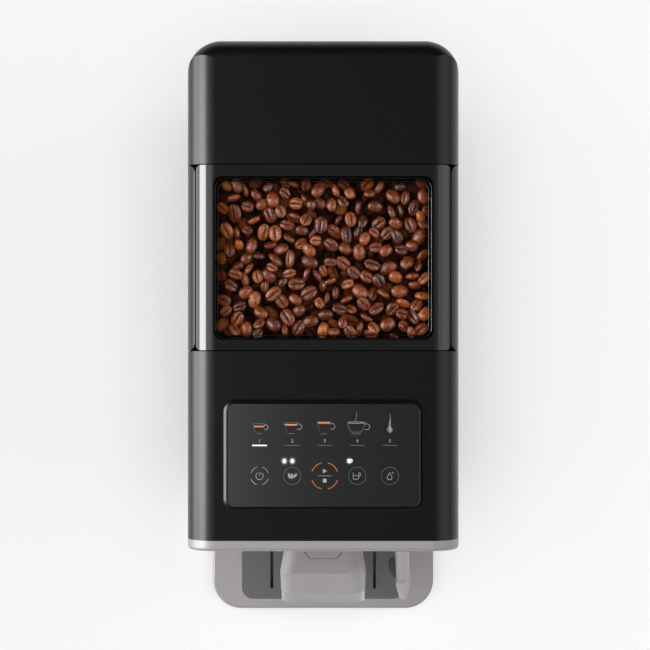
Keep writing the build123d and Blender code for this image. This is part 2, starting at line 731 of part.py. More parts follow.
# Grounds container: an open box that stands on the tray's walls, with its own front in the fascia's arch
container_headroom = 4.0
container_top = panel_bottom - container_headroom
container_wall = 2.2
container_half = tray_inner_half - seam
container_round = 8.0
container_back_gap = 4.0
container_back_y = tray_back_y - container_back_gap
drawer_front_thickness = 3.6
drawer_front_lift = 2.0
drawer_front_low = tray_top + drawer_front_lift
drawer_front_overlap = 8.0
drawer_front_high = panel_bottom + drawer_front_overlap
drawer_front_round = 3.0
container_low = pan_top + seat
container_front_y = panel_front_y - seam
with BuildPart() as grounds_container:
    extrude(flat_area(-container_half, container_half, container_front_y, container_back_y, container_low,
                      container_round), amount=container_top - container_low)
    offset(amount=-container_wall, openings=grounds_container.faces().sort_by(Axis.Z)[-1])
grounds_container.part.label = "grounds_container"
export_step(grounds_container.part, "parts/grounds_container.step")

with BuildPart() as container_front:
    extrude(front_area(seam - panel_half, panel_half - seam, drawer_front_low, drawer_front_high,
                       container_front_y, drawer_front_round), amount=drawer_front_thickness)
container_front.part.label = "container_front"
export_step(container_front.part, "parts/container_front.step")

# Front cap: the shell over the brew unit, with the opening for the control panel
display_inset = 27.5
display_half = half_width - display_inset
display_front_gap = 22.5
display_front_y = fascia_back_y + display_front_gap
display_back_gap = 34.6
display_back_y = front_seam_y - display_back_gap
display_round = 4.0
glass_groove = 0.5
glass_thickness = 2.0
glass_recess = 0.8
bezel_rise = 2.4
bezel_width = 2.3
bezel_skirt = 1.3
bezel_skirt_depth = 6.0
bezel_skirt_low = body_height - bezel_skirt_depth
bezel_ledge = 3.0
bezel_edge = 1.1
opening_half = display_half + glass_groove + bezel_skirt + seat
opening_front_y = display_front_y - glass_groove - bezel_skirt - seat
opening_back_y = display_back_y + glass_groove + bezel_skirt + seat
opening_round = display_round + glass_groove + bezel_skirt + seat
cap_low = panel_top + seam
with BuildPart() as front_cap:
    extrude(body_section(0, front_seam_y - seam / 2), amount=front_cap_length - seam / 2)
    extrude(body_section(wall, front_seam_y - seam / 2 - wall), amount=front_cap_length - seam / 2 - wall,
            mode=Mode.SUBTRACT)
    extrude(flat_area(-half_width, half_width, fascia_back_y, front_seam_y, 0), amount=cap_low,
            mode=Mode.SUBTRACT)
    extrude(flat_area(-opening_half, opening_half, opening_front_y, opening_back_y, panel_top, opening_round),
            amount=cap_height, mode=Mode.SUBTRACT)
front_cap.part.label = "front_cap"
export_step(front_cap.part, "parts/front_cap.step")

glass_top = body_height + bezel_rise - glass_recess
glass_low = glass_top - glass_thickness


def display_area(margin, z):
    """The control panel's outline from above, larger by a margin all round."""
    return flat_area(-display_half - margin, display_half + margin, display_front_y - margin,
                     display_back_y + margin, z, display_round + margin)


with BuildPart() as control_bezel:
    extrude(display_area(glass_groove + bezel_width, body_height), amount=bezel_rise)
    fillet(control_bezel.faces().sort_by(Axis.Z)[-1].edges(), radius=bezel_edge)
    extrude(display_area(glass_groove + bezel_skirt, bezel_skirt_low), amount=body_height - bezel_skirt_low)
    extrude(display_area(glass_groove, glass_low), amount=glass_thickness + glass_recess, mode=Mode.SUBTRACT)
    extrude(flat_area(bezel_ledge - display_half, display_half - bezel_ledge, display_front_y + bezel_ledge,
                      display_back_y - bezel_ledge, bezel_skirt_low, glass_groove),
            amount=glass_low - bezel_skirt_low, mode=Mode.SUBTRACT)
control_bezel.part.label = "control_bezel"
export_step(control_bezel.part, "parts/control_bezel.step")

with BuildPart() as touch_glass:
    extrude(display_area(0, glass_low), amount=glass_thickness)
touch_glass.part.label = "touch_glass"
export_step(touch_glass.part, "parts/touch_glass.step")

# Under the glass: a black light guide with a window for each symbol, and the board that lights them
guide_thickness = 4.2
guide_gap = 0.6
symbol_count = 5
symbol_share = 0.341
symbol_spacing = symbol_share * display_half
symbol_x = 1.0
symbol_row_gap = 16.0
symbol_row_y = display_back_y - symbol_row_gap
button_row_gap = 20.3
button_row_y = display_front_y + button_row_gap
symbol_window = 12.0
button_window_radius = 5.0
board_thickness = 1.6
guide_top = glass_low - seam / 2
guide_low = guide_top - guide_thickness
guide_half = display_half - bezel_ledge - guide_gap
guide_front_y = display_front_y + bezel_ledge + guide_gap
guide_back_y = display_back_y - bezel_ledge - guide_gap
chip_size = 10.0
chip_height = 1.6
chip_count = 3
with BuildPart() as display_board:
    extrude(flat_area(-guide_half, guide_half, guide_front_y, guide_back_y, guide_low), amount=guide_thickness)
    with BuildSketch(Plane.XY.offset(guide_low)):
        with Locations((symbol_x, symbol_row_y)):
            with GridLocations(symbol_spacing, symbol_spacing, symbol_count, 1):
                Rectangle(symbol_window, symbol_window)
        with Locations((symbol_x, button_row_y)):
            with GridLocations(symbol_spacing, symbol_spacing, symbol_count, 1):
                Circle(button_window_radius)
    extrude(amount=guide_thickness, mode=Mode.SUBTRACT)
    extrude(flat_area(-guide_half, guide_half, guide_front_y, guide_back_y, guide_low - board_thickness),
            amount=board_thickness)
    with BuildSketch(Plane.XY.offset(guide_low - board_thickness)):
        with Locations((0, (guide_front_y + guide_back_y) / 2)):
            with GridLocations(2 * chip_size, chip_size, chip_count, 1):
                Rectangle(chip_size, chip_size)
    extrude(amount=-chip_height)
display_board.part.label = "display_board"
export_step(display_board.part, "parts/display_board.step")

# Water tank cover: the rear cap, a closed shell that lifts off, its back corners rolled over
cover_front_y = rear_seam_y + seam / 2


def cover_block(inset):
    """The rear cap as a solid, drawn inset: plan with a rolled top edge, cut to the casing's section."""
    with BuildPart() as block:
        extrude(rear_plan(inset, cover_front_y + inset, cap_low), amount=body_height - inset - cap_low)
        rolled = block.faces().sort_by(Axis.Z)[-1].edges().filter_by(
            lambda edge: edge.center().Y > cover_front_y + inset + overrun)
        fillet(rolled, radius=rear_round - inset)
        extrude(body_section(inset, back_y), amount=rear_cap_length, mode=Mode.INTERSECT)
    return block.part


with BuildPart() as tank_cover:
    add(cover_block(0))
    add(cover_block(wall), mode=Mode.SUBTRACT)
tank_cover.part.label = "tank_cover"
export_step(tank_cover.part, "parts/tank_cover.step")

# Water tank on its platform, with a valve in its floor that the platform's nipple opens
platform_z = 50.0
platform_thickness = 4.0
platform_leg = 10.0
tank_lift_gap = 6.0
tank_low = platform_z + tank_lift_gap
tank_headroom = 4.0
tank_top = panel_top - tank_headroom
tank_wall = 2.2
tank_inset = 10.0
tank_half = half_width - tank_inset
tank_front_gap = 3.4
tank_front_y = rear_seam_y + tank_front_gap
tank_round_front = 8.0
tank_back_gap = 3.0
valve_radius = 9.0
valve_hole_radius = 5.0
valve_height = 14.0
nipple_radius = 3.0
nipple_bore = 2.0
valve_setback = 41.7
valve_y = back_y - valve_setback
tank_back_y = back_y - wall - tank_back_gap
platform_front_y = bulkhead_back_y + seam
with BuildPart() as tank_platform:
    extrude(flat_area(-inner_half, inner_half, platform_front_y, back_y - wall - seam, platform_z,
                      corner_round - wall - seam), amount=platform_thickness)
    extrude(flat_area(-inner_half, inner_half, platform_front_y, platform_front_y + corner_round, platform_z),
            amount=platform_thickness)
    with BuildSketch(Plane.XY.offset(base_top)):
        for side in (-1, 1):
            with Locations((side * (inner_half - platform_leg / 2), platform_front_y + platform_leg / 2),
                           (side * (inner_half - corner_round), back_y - corner_round)):
                Rectangle(platform_leg, platform_leg)
    extrude(amount=platform_z - base_top)
    with BuildSketch(Plane.XY.offset(platform_z - valve_radius)):
        with Locations((0, valve_y)):
            Circle(nipple_radius + nipple_bore)
    extrude(amount=valve_radius)
    with BuildSketch(Plane.XY.offset(platform_z)):
        with Locations((0, valve_y)):
            Circle(nipple_radius)
    extrude(amount=tank_low + tank_wall - platform_z)
    with BuildSketch(Plane.XY.offset(platform_z - valve_radius)):
        with Locations((0, valve_y)):
            Circle(nipple_bore)
    extrude(amount=tank_low - platform_z + valve_radius + valve_height, mode=Mode.SUBTRACT)
tank_platform.part.label = "tank_platform"
export_step(tank_platform.part, "parts/tank_platform.step")


def tank_block(inset, z_low, z_high):
    """The water tank as a solid: rounded more at the back than in front."""
    with BuildPart() as block:
        extrude(flat_area(inset - tank_half, tank_half - inset, tank_front_y + inset, tank_back_y - inset,
                          z_low), amount=z_high - z_low)
        upright = block.edges().filter_by(Axis.Z).group_by(Axis.Y)
        fillet(upright[-1], radius=corner_round - wall - tank_back_gap - inset)
        fillet(block.edges().filter_by(Axis.Z).group_by(Axis.Y)[0], radius=tank_round_front - inset)
    return block.part


tank_foot_low = platform_z + platform_thickness + seat
with BuildPart() as water_tank:
    add(tank_block(0, tank_low, tank_top))
    add(tank_block(tank_wall, tank_low + tank_wall, tank_top), mode=Mode.SUBTRACT)
    with BuildSketch(Plane.XY.offset(tank_foot_low)):
        with Locations((0, (tank_front_y + tank_back_y) / 2)):
            with GridLocations(2 * (tank_half - corner_round), corner_round, 2, 1):
                SlotOverall(2 * corner_round, platform_leg, rotation=90)
    extrude(amount=tank_low - tank_foot_low)
    with BuildSketch(Plane.XY.offset(tank_low)):
        with Locations((0, valve_y)):
            Circle(valve_hole_radius)
    extrude(amount=tank_wall, mode=Mode.SUBTRACT)
    with BuildSketch(Plane.XY.offset(tank_low + tank_wall)):
        with Locations((0, valve_y)):
            Circle(valve_radius + pan_wall)
            Circle(valve_radius, mode=Mode.SUBTRACT)
    extrude(amount=valve_height)
water_tank.part.label = "water_tank"
export_step(water_tank.part, "parts/water_tank.step")

valve_seat_z = tank_low + tank_wall + seat
with BuildPart() as tank_valve:
    with BuildSketch(Plane.XY.offset(valve_seat_z)):
        with Locations((0, valve_y)):
            Circle(valve_radius - seat)
    extrude(amount=valve_height - overrun)
    chamfer(tank_valve.faces().sort_by(Axis.Z)[-1].edges(), length=overrun)
tank_valve.part.label = "tank_valve"
export_step(tank_valve.part, "parts/tank_valve.step")

# Hopper lid sizes, which the hopper's rim also follows
lid_inset = 6.4
lid_half = half_width - lid_inset
lid_end_gap = 0.5
lid_wall = 2.6
lid_skirt = 2.4
lid_depth = 18.0
lid_skirt_low = body_height - lid_depth
lid_round = 3.0
window_inset = 18.0
window_half = half_width - window_inset
window_front_gap = 7.5
window_front_y = front_seam_y + window_front_gap
window_back_gap = 8.2
window_back_y = rear_seam_y - window_back_gap
window_round = 6.0
window_gap = 0.15
window_flange = 3.4
window_flange_height = 2.0
seal_width = 3.0
seal_inset = 13.1
seal_x = half_width - seal_inset
lid_front_y = front_seam_y + lid_end_gap
lid_back_y = rear_seam_y - lid_end_gap

# Bean hopper: a funnel under the lid, with a flanged rim
hopper_inset = 15.0
hopper_half = half_width - hopper_inset
hopper_end_gap = 4.0
hopper_wall = 2.0
hopper_round = 12.0
hopper_rim_drop = 10.0
hopper_rim_z = body_height - hopper_rim_drop
hopper_rim_height = 2.5
hopper_rim_reach = 5.0
hopper_depth = 26.0
funnel_z = hopper_rim_z - hopper_depth
funnel_depth = 38.0
throat_z = funnel_z - funnel_depth
throat_radius = 19.0
throat_length = 4.0
hopper_front_y = front_seam_y + hopper_end_gap
hopper_back_y = rear_seam_y - hopper_end_gap


def hopper_block(inset, z_low, z_high):
    """The bean hopper as a solid: a box that funnels down to a round throat, drawn inset all round."""
    with BuildPart() as block:
        extrude(flat_area(inset - hopper_half, hopper_half - inset, hopper_front_y + inset,
                          hopper_back_y - inset, funnel_z, hopper_round - inset), amount=z_high - funnel_z)
        with BuildSketch(Plane.XY.offset(funnel_z)):
            with Locations((0, grinder_y)):
                RectangleRounded(2 * (hopper_half - inset), hopper_back_y - hopper_front_y - 2 * inset,
                                 hopper_round - inset)
        with BuildSketch(Plane.XY.offset(z_low)):
            with Locations((0, grinder_y)):
                Circle(throat_radius + hopper_wall - inset)
        loft()
    return block.part


with BuildPart() as bean_hopper:
    add(hopper_block(0, throat_z, hopper_rim_z))
    extrude(flat_area(-hopper_half - hopper_rim_reach, hopper_half + hopper_rim_reach,
                      lid_front_y + lid_skirt + seat, lid_back_y - lid_skirt - seat,
                      hopper_rim_z - hopper_rim_height,
                      hopper_rim_reach), amount=hopper_rim_height)
    with BuildSketch(Plane.XY.offset(throat_z - throat_length)):
        with Locations((0, grinder_y)):
            Circle(throat_radius + hopper_wall)
    extrude(amount=throat_length)
    add(hopper_block(hopper_wall, throat_z, hopper_rim_z + overrun), mode=Mode.SUBTRACT)
    with BuildSketch(Plane.XY.offset(throat_z - throat_length)):
        with Locations((0, grinder_y)):
            Circle(throat_radius)
    extrude(amount=throat_length + overrun, mode=Mode.SUBTRACT)
bean_hopper.part.label = "bean_hopper"
export_step(bean_hopper.part, "parts/bean_hopper.step")

# Coffee beans: the heap that fills the hopper, its top gently mounded
bean_top_gap = 10.0
bean_top = hopper_rim_z - bean_top_gap
bean_mound = 3.0
bean_low_gap = 8.0
bean_low = throat_z + bean_low_gap
with BuildPart() as coffee_beans:
    add(hopper_block(hopper_wall + seat, throat_z, bean_top))
    fillet(coffee_beans.faces().sort_by(Axis.Z)[-1].edges(), radius=bean_mound)
    extrude(flat_area(-hopper_half, hopper_half, hopper_front_y, hopper_back_y, throat_z - overrun),
            amount=bean_low - throat_z + overrun, mode=Mode.SUBTRACT)
coffee_beans.part.label = "coffee_beans"
export_step(coffee_beans.part, "parts/coffee_beans.step")

# Hopper lid: a glossy frame that carries on the casing's section, with a clear window and a seal below


def lid_area(inset, z):
    """The lid's outline from above, drawn inset all round."""
    return flat_area(inset - lid_half, lid_half - inset, lid_front_y + inset, lid_back_y - inset, z,
                     max(lid_round - inset, seam))


def lid_block(roof_inset, side_inset, z_low):
    """The lid as a solid under the casing's section, drawn inset below the roof and at its sides."""
    with BuildPart() as block:
        extrude(body_section(roof_inset, lid_back_y), amount=lid_back_y - lid_front_y)
        extrude(lid_area(side_inset, z_low), amount=body_height, mode=Mode.INTERSECT)
    return block.part


with BuildPart() as lid_frame:
    add(lid_block(0, 0, lid_skirt_low))
    add(lid_block(lid_wall, lid_skirt, lid_skirt_low - overrun), mode=Mode.SUBTRACT)
    extrude(flat_area(-window_half - window_gap, window_half + window_gap, window_front_y - window_gap,
                      window_back_y + window_gap, lid_skirt_low, window_round + window_gap), amount=body_height,
            mode=Mode.SUBTRACT)
lid_frame.part.label = "lid_frame"
export_step(lid_frame.part, "parts/lid_frame.step")

flange_x = window_half + window_flange
flange_top = shoulder_z + sqrt((top_round - lid_wall) ** 2 - (flange_x - shoulder_x) ** 2) - seat
window_low = flange_top - window_flange_height
with BuildPart() as lid_window:
    extrude(flat_area(-window_half, window_half, window_front_y, window_back_y, window_low, window_round),
            amount=body_height - window_low - seam / 2)
    extrude(flat_area(-window_half - window_flange, window_half + window_flange, window_front_y - window_flange,
                      window_back_y + window_flange, window_low, window_round), amount=window_flange_height)
lid_window.part.label = "lid_window"
export_step(lid_window.part, "parts/lid_window.step")

seal_top = shoulder_z + sqrt((top_round - lid_wall) ** 2 - (seal_x + seal_width - shoulder_x) ** 2) - seat
with BuildPart() as lid_seal:
    with BuildSketch(Plane.XY.offset(hopper_rim_z + seat)):
        with Locations((0, grinder_y)):
            RectangleRounded(2 * (seal_x + seal_width), lid_back_y - lid_front_y - 2 * (lid_skirt + seat),
                             window_round)
            RectangleRounded(2 * seal_x, lid_back_y - lid_front_y - 2 * (lid_skirt + seat + seal_width)
                             + 2 * seat, window_round - seal_width, mode=Mode.SUBTRACT)
    extrude(amount=seal_top - hopper_rim_z - seat)
lid_seal.part.label = "lid_seal"
export_step(lid_seal.part, "parts/lid_seal.step")

# Grinder: housing under the hopper's throat, a fixed upper burr in its adjusting ring, a driven lower burr
grinder_radius = 40.0
grinder_wall = 4.0
grinder_height = 56.0
grinder_low = throat_z - grinder_height
grinder_floor = 5.0
burr_radius = 31.0
burr_bore = 15.0
burr_thickness = 7.0
burr_gap = 0.8
burr_teeth = 12
burr_skew = 40.0
tooth_depth = 1.6
tooth_width = 3.0
carrier_radius = 33.0
carrier_thickness = 4.0
ring_height = 12.0
shaft_radius = 5.0
hub_radius = 9.0
ring_lug_count = 2
sweeper_count = 4
grinder_high = throat_z - throat_length - seat
upper_burr_low = grinder_high - ring_height - burr_thickness
lower_burr_high = upper_burr_low - burr_gap
lower_burr_low = lower_burr_high - burr_thickness
carrier_low = lower_burr_low - carrier_thickness
outlet_width = 22.0
outlet_high = lower_burr_high
with BuildPart() as grinder_housing:
    with BuildSketch(Plane.XY.offset(grinder_low)):
        with Locations((0, grinder_y)):
            Circle(grinder_radius)
    extrude(amount=grinder_high - grinder_low)
    chamfer(grinder_housing.faces().sort_by(Axis.Z)[0].edges(), length=grinder_wall / 2)
    with BuildSketch(Plane.XY.offset(grinder_low + grinder_floor)):
        with Locations((0, grinder_y)):
            Circle(grinder_radius - grinder_wall)
    extrude(amount=grinder_high, mode=Mode.SUBTRACT)
    with BuildSketch(Plane.XY.offset(grinder_low)):
        with Locations((0, grinder_y)):
            Circle(shaft_radius + running)
    extrude(amount=grinder_floor, mode=Mode.SUBTRACT)
    extrude(front_area(-outlet_width / 2, outlet_width / 2, grinder_low + grinder_floor, outlet_high,
                       grinder_y), amount=grinder_radius + overrun, mode=Mode.SUBTRACT)
grinder_housing.part.label = "grinder_housing"
export_step(grinder_housing.part, "parts/grinder_housing.step")

with BuildPart() as adjusting_ring:
    with BuildSketch(Plane.XY.offset(upper_burr_low + burr_thickness)):
        with Locations((0, grinder_y)):
            Circle(grinder_radius - grinder_wall - running)
            Circle(burr_bore, mode=Mode.SUBTRACT)
    extrude(amount=ring_height)
    with BuildSketch(Plane.XY.offset(grinder_high)):
        with Locations((0, grinder_y)):
            Circle(throat_radius - seat)
            Circle(burr_bore, mode=Mode.SUBTRACT)
    extrude(amount=throat_length)
    with BuildSketch(Plane.XY.offset(grinder_high)):
        with Locations((0, grinder_y)):
            with PolarLocations((throat_radius + burr_bore) / 2, ring_lug_count):
                Rectangle(tooth_width, tooth_width)
    extrude(amount=throat_length + tooth_width)
adjusting_ring.part.label = "adjusting_ring"
export_step(adjusting_ring.part, "parts/adjusting_ring.step")


def burr(z_low, teeth_face_z, cut_height):
    """One flat burr: a steel ring whose grinding face is cut with slanted grooves."""
    with BuildPart() as ring:
        with BuildSketch(Plane.XY.offset(z_low)):
            with Locations((0, grinder_y)):
                Circle(burr_radius)
                Circle(burr_bore, mode=Mode.SUBTRACT)
        extrude(amount=burr_thickness)
        with BuildSketch(Plane.XY.offset(teeth_face_z)):
            with Locations((0, grinder_y)):
                with PolarLocations(burr_radius - tooth_width, burr_teeth):
                    Rectangle(burr_radius - burr_bore, tooth_width, rotation=burr_skew)
        extrude(amount=cut_height, mode=Mode.SUBTRACT)
    return ring.part


with BuildPart() as upper_burr:
    add(burr(upper_burr_low, upper_burr_low, tooth_depth))
upper_burr.part.label = "upper_burr"
export_step(upper_burr.part, "parts/upper_burr.step")

with BuildPart() as lower_burr:
    add(burr(lower_burr_low, lower_burr_high, -tooth_depth))
lower_burr.part.label = "lower_burr"
export_step(lower_burr.part, "parts/lower_burr.step")

motor_radius = 30.0
motor_low = deck_top
motor_cap = 8.0
gearbox_radius = 34.0
gearbox_height = 14.0
motor_fin_count = 8
motor_fin_width = 4.0
with BuildPart() as burr_carrier:
    with BuildSketch(Plane.XY.offset(carrier_low)):
        with Locations((0, grinder_y)):
            Circle(carrier_radius)
    extrude(amount=carrier_thickness)
    with BuildSketch(Plane.XY.offset(carrier_low)):
        with Locations((0, grinder_y)):
            Circle(hub_radius)
    extrude(amount=carrier_thickness + burr_thickness)
    with BuildSketch(Plane.XY.offset(grinder_low - gearbox_height / 2)):
        with Locations((0, grinder_y)):
            Circle(shaft_radius)
    extrude(amount=carrier_low - grinder_low + gearbox_height / 2)
    with BuildSketch(Plane.XY.offset(carrier_low)):
        with Locations((0, grinder_y)):
            with PolarLocations(carrier_radius - tooth_width / 2, sweeper_count):
                Rectangle(tooth_width, tooth_width)
    extrude(amount=-tooth_depth)
burr_carrier.part.label = "burr_carrier"
export_step(burr_carrier.part, "parts/burr_carrier.step")

gearbox_low = grinder_low - gearbox_height
with BuildPart() as grinder_motor:
    with BuildSketch(Plane.XY.offset(gearbox_low)):
        with Locations((0, grinder_y)):
            Circle(gearbox_radius)
    extrude(amount=gearbox_height)
    chamfer(grinder_motor.faces().sort_by(Axis.Z)[0].edges(), length=overrun)
    with BuildSketch(Plane.XY.offset(motor_low)):
        with Locations((0, grinder_y)):
            Circle(motor_radius)
    extrude(amount=gearbox_low - motor_low)
    with BuildSketch(Plane.XY.offset(motor_low + motor_cap)):
        with Locations((0, grinder_y)):
            Circle(motor_radius)
            Circle(motor_radius - tooth_depth, mode=Mode.SUBTRACT)
    extrude(amount=gearbox_low - motor_low - 2 * motor_cap, mode=Mode.SUBTRACT)
    with BuildSketch(Plane.XY.offset(motor_low + motor_cap)):
        with Locations((0, grinder_y)):
            with PolarLocations(motor_radius - tooth_depth, motor_fin_count):
                Rectangle(tooth_depth, motor_fin_width)
    extrude(amount=gearbox_low - motor_low - 2 * motor_cap)
    with BuildSketch(Plane.XY.offset(grinder_low - gearbox_height / 2 - seat)):
        with Locations((0, grinder_y)):
            Circle(shaft_radius + running)
    extrude(amount=gearbox_height, mode=Mode.SUBTRACT)
grinder_motor.part.label = "grinder_motor"
export_step(grinder_motor.part, "parts/grinder_motor.step")

# Brew unit: an open frame with a chamber, a lower piston on a driven arm, and a fixed upper piston
frame_plate = 4.0
frame_left_reach = 35.0
frame_left_x = brew_x - frame_left_reach
frame_right_reach = 36.0
frame_right_x = brew_x + frame_right_reach
frame_front_reach = 45.0
frame_front_y = brew_y - frame_front_reach
frame_back_reach = 35.0
frame_back_y = brew_y + frame_back_reach
frame_share = 0.66
frame_high = deck_top + frame_share * (panel_top - deck_top)
frame_round = 5.0
chamber_radius = 23.5
chamber_bore = 20.0
chamber_low_share = 0.34
chamber_low = deck_top + chamber_low_share * (frame_high - deck_top)
chamber_high_share = 0.71
chamber_high = deck_top + chamber_high_share * (frame_high - deck_top)
chamber_arm = 7.0
arm_rise = 5.0
arm_low = deck_top + arm_rise
arm_height = 7.0
arm_half = 7.0
stem_radius = 6.0
piston_height = 6.0
piston_stroke = 26.0
spindle_reach = 29.0
spindle_x = brew_x + spindle_reach
spindle_radius = 4.0
nut_radius = 7.0
piston_bite = 6.0
upper_piston_low = chamber_high - piston_bite
brew_motor_radius = 12.5
brew_motor_height = 26.0
with BuildPart() as brew_frame:
    extrude(front_area(frame_left_x, frame_right_x, deck_top, frame_high, frame_back_y), amount=frame_back_y
            - frame_front_y)
    extrude(front_area(frame_left_x + frame_plate, frame_right_x + overrun, deck_top + frame_plate,
                       frame_high - frame_plate, frame_back_y), amount=frame_back_y - frame_front_y,
            mode=Mode.SUBTRACT)
    fillet(brew_frame.edges().filter_by(Axis.Z).group_by(Axis.X)[-1], radius=frame_round)
    extrude(flat_area(brew_x - puck_hole_width / 2, brew_x + puck_hole_width / 2, frame_front_y - overrun,
                      puck_hole_y + puck_hole_length / 2, deck_top), amount=frame_plate, mode=Mode.SUBTRACT)
    with BuildSketch(Plane.XY.offset(frame_high - frame_plate)):
        with Locations((spindle_x, brew_y)):
            Circle(spindle_radius + running)
        with Locations((brew_x, brew_y)):
            Circle(stem_radius + running)
    extrude(amount=frame_plate, mode=Mode.SUBTRACT)
brew_frame.part.label = "brew_frame"
export_step(brew_frame.part, "parts/brew_frame.step")

with BuildPart() as brew_chamber:
    with BuildSketch(Plane.XY.offset(chamber_low)):
        with Locations((brew_x, brew_y)):
            Circle(chamber_radius)
    extrude(amount=chamber_high - chamber_low)
    extrude(flat_area(frame_left_x + frame_plate, brew_x, brew_y - chamber_bore, brew_y + chamber_bore,
                      (chamber_low + chamber_high - chamber_arm) / 2), amount=chamber_arm)
    with BuildSketch(Plane.XY.offset(chamber_low)):
        with Locations((brew_x, brew_y)):
            Circle(chamber_bore)
    extrude(amount=chamber_high - chamber_low, mode=Mode.SUBTRACT)
    chamfer(brew_chamber.faces().sort_by(Axis.Z)[-1].edges(), length=overrun / 2)
brew_chamber.part.label = "brew_chamber"
export_step(brew_chamber.part, "parts/brew_chamber.step")

piston_low = chamber_low + seat
with BuildPart() as brew_piston:
    with BuildSketch(Plane.XY.offset(piston_low)):
        with Locations((brew_x, brew_y)):
            Circle(chamber_bore - running)
    extrude(amount=piston_height)
    with BuildSketch(Plane.XY.offset(arm_low)):
        with Locations((brew_x, brew_y)):
            Circle(stem_radius)
    extrude(amount=piston_low - arm_low)
    extrude(flat_area(brew_x, spindle_x, brew_y - arm_half, brew_y + arm_half, arm_low), amount=arm_height)
    with BuildSketch(Plane.XY.offset(arm_low)):
        with Locations((spindle_x, brew_y)):
            Circle(nut_radius)
    extrude(amount=arm_height)
    with BuildSketch(Plane.XY.offset(arm_low)):
        with Locations((spindle_x, brew_y)):
            Circle(spindle_radius + running)
    extrude(amount=arm_height, mode=Mode.SUBTRACT)
brew_piston.part.label = "brew_piston"
export_step(brew_piston.part, "parts/brew_piston.step")

with BuildPart() as upper_piston:
    with BuildSketch(Plane.XY.offset(upper_piston_low)):
        with Locations((brew_x, brew_y)):
            Circle(chamber_bore - running)
    extrude(amount=piston_height)
    with BuildSketch(Plane.XY.offset(upper_piston_low)):
        with Locations((brew_x, brew_y)):
            Circle(stem_radius)
    extrude(amount=frame_high + piston_height - upper_piston_low)
upper_piston.part.label = "upper_piston"
export_step(upper_piston.part, "parts/upper_piston.step")

with BuildPart() as drive_spindle:
    with BuildSketch(Plane.XY.offset(deck_top + frame_plate + seat)):
        with Locations((spindle_x, brew_y)):
            Circle(spindle_radius)
    extrude(amount=frame_high - deck_top - frame_plate - 2 * seat)
drive_spindle.part.label = "drive_spindle"
export_step(drive_spindle.part, "parts/drive_spindle.step")

with BuildPart() as brew_motor:
    with BuildSketch(Plane.XY.offset(frame_high)):
        with Locations((spindle_x, brew_y)):
            RectangleRounded(2 * brew_motor_radius, 2 * brew_motor_radius, frame_round)
    extrude(amount=frame_plate)
    with BuildSketch(Plane.XY.offset(frame_high + frame_plate)):
        with Locations((spindle_x, brew_y)):
            Circle(brew_motor_radius)
    extrude(amount=brew_motor_height)
    chamfer(brew_motor.faces().sort_by(Axis.Z)[-1].edges(), length=overrun)
brew_motor.part.label = "brew_motor"
export_step(brew_motor.part, "parts/brew_motor.step")

# Ground coffee chute: from the grinder's outlet down to the brew chamber's mouth
chute_width = 18.0
chute_height = 12.0
chute_wall = 1.5
chute_run_x = 39.0
chute_gap = 1.2
chute_start_rise = 12.0
chute_end_reach_x = 14.0
chute_end_reach_y = 17.0
chute_end_rise = 10.0
chute_start_z = grinder_low + chute_start_rise
chute_end_z = chamber_high + chute_end_rise
chute_slope = abs(chute_start_z - chute_end_z) / (grinder_y - brew_y)
chute_start_y = grinder_y - grinder_radius - chute_gap - chute_height * chute_slope
chute_start = (brew_x - chute_run_x, chute_start_y, chute_start_z)
chute_end = (brew_x - chute_end_reach_x, brew_y + chute_end_reach_y, chute_end_z)
chute_line = Vector(*chute_end) - Vector(*chute_start)
with BuildPart() as grounds_chute:
    with BuildSketch(Plane(origin=chute_start, x_dir=chute_line.cross(Vector(0, 0, 1)), z_dir=chute_line)):
        Rectangle(chute_width, chute_height)
        Rectangle(chute_width - 2 * chute_wall, chute_height - 2 * chute_wall, mode=Mode.SUBTRACT)
    extrude(amount=chute_line.length)
grounds_chute.part.label = "grounds_chute"
export_step(grounds_chute.part, "parts/grounds_chute.step")

# Thermoblock: the cast water heater on its four posts
heater_inset = 6.8
heater_left_x = heater_inset - inner_half
heater_right_gap = 31.0
heater_right_x = frame_left_x - heater_right_gap
heater_front_gap = 21.3
heater_front_y = fascia_back_y + heater_front_gap
heater_back_gap = 16.0
heater_back_y = pressure_hose_y - heater_back_gap
heater_rise = 18.0
heater_low = deck_top + heater_rise
heater_height = 44.0
heater_post = 8.0
heater_round = 8.0
heater_tube_radius = 4.0
heater_fin_count = 6
heater_fin_depth = 5.0
heater_x = (heater_left_x + heater_right_x) / 2
heater_y = (heater_front_y + heater_back_y) / 2
heater_high = heater_low + heater_height
with BuildPart() as thermoblock:
    extrude(flat_area(heater_left_x, heater_right_x, heater_front_y, heater_back_y, heater_low, heater_round),
            amount=heater_height)
    with BuildSketch(Plane.XY.offset(heater_high - heater_fin_depth)):
        with Locations((heater_x, heater_y)):
            with GridLocations(heater_fin_depth, (heater_back_y - heater_front_y) / heater_fin_count, 1,
                               heater_fin_count - 1):
                Rectangle(heater_right_x - heater_left_x, heater_fin_depth)
    extrude(amount=heater_fin_depth, mode=Mode.SUBTRACT)
    with BuildSketch(Plane.XY.offset(deck_top)):
        with Locations((heater_x, heater_y)):
            with GridLocations(heater_right_x - heater_left_x - 2 * heater_round,
                               heater_back_y - heater_front_y - 2 * heater_round, 2, 2):
                Circle(heater_post / 2)
    extrude(amount=heater_low - deck_top)
thermoblock.part.label = "thermoblock"
export_step(thermoblock.part, "parts/thermoblock.step")

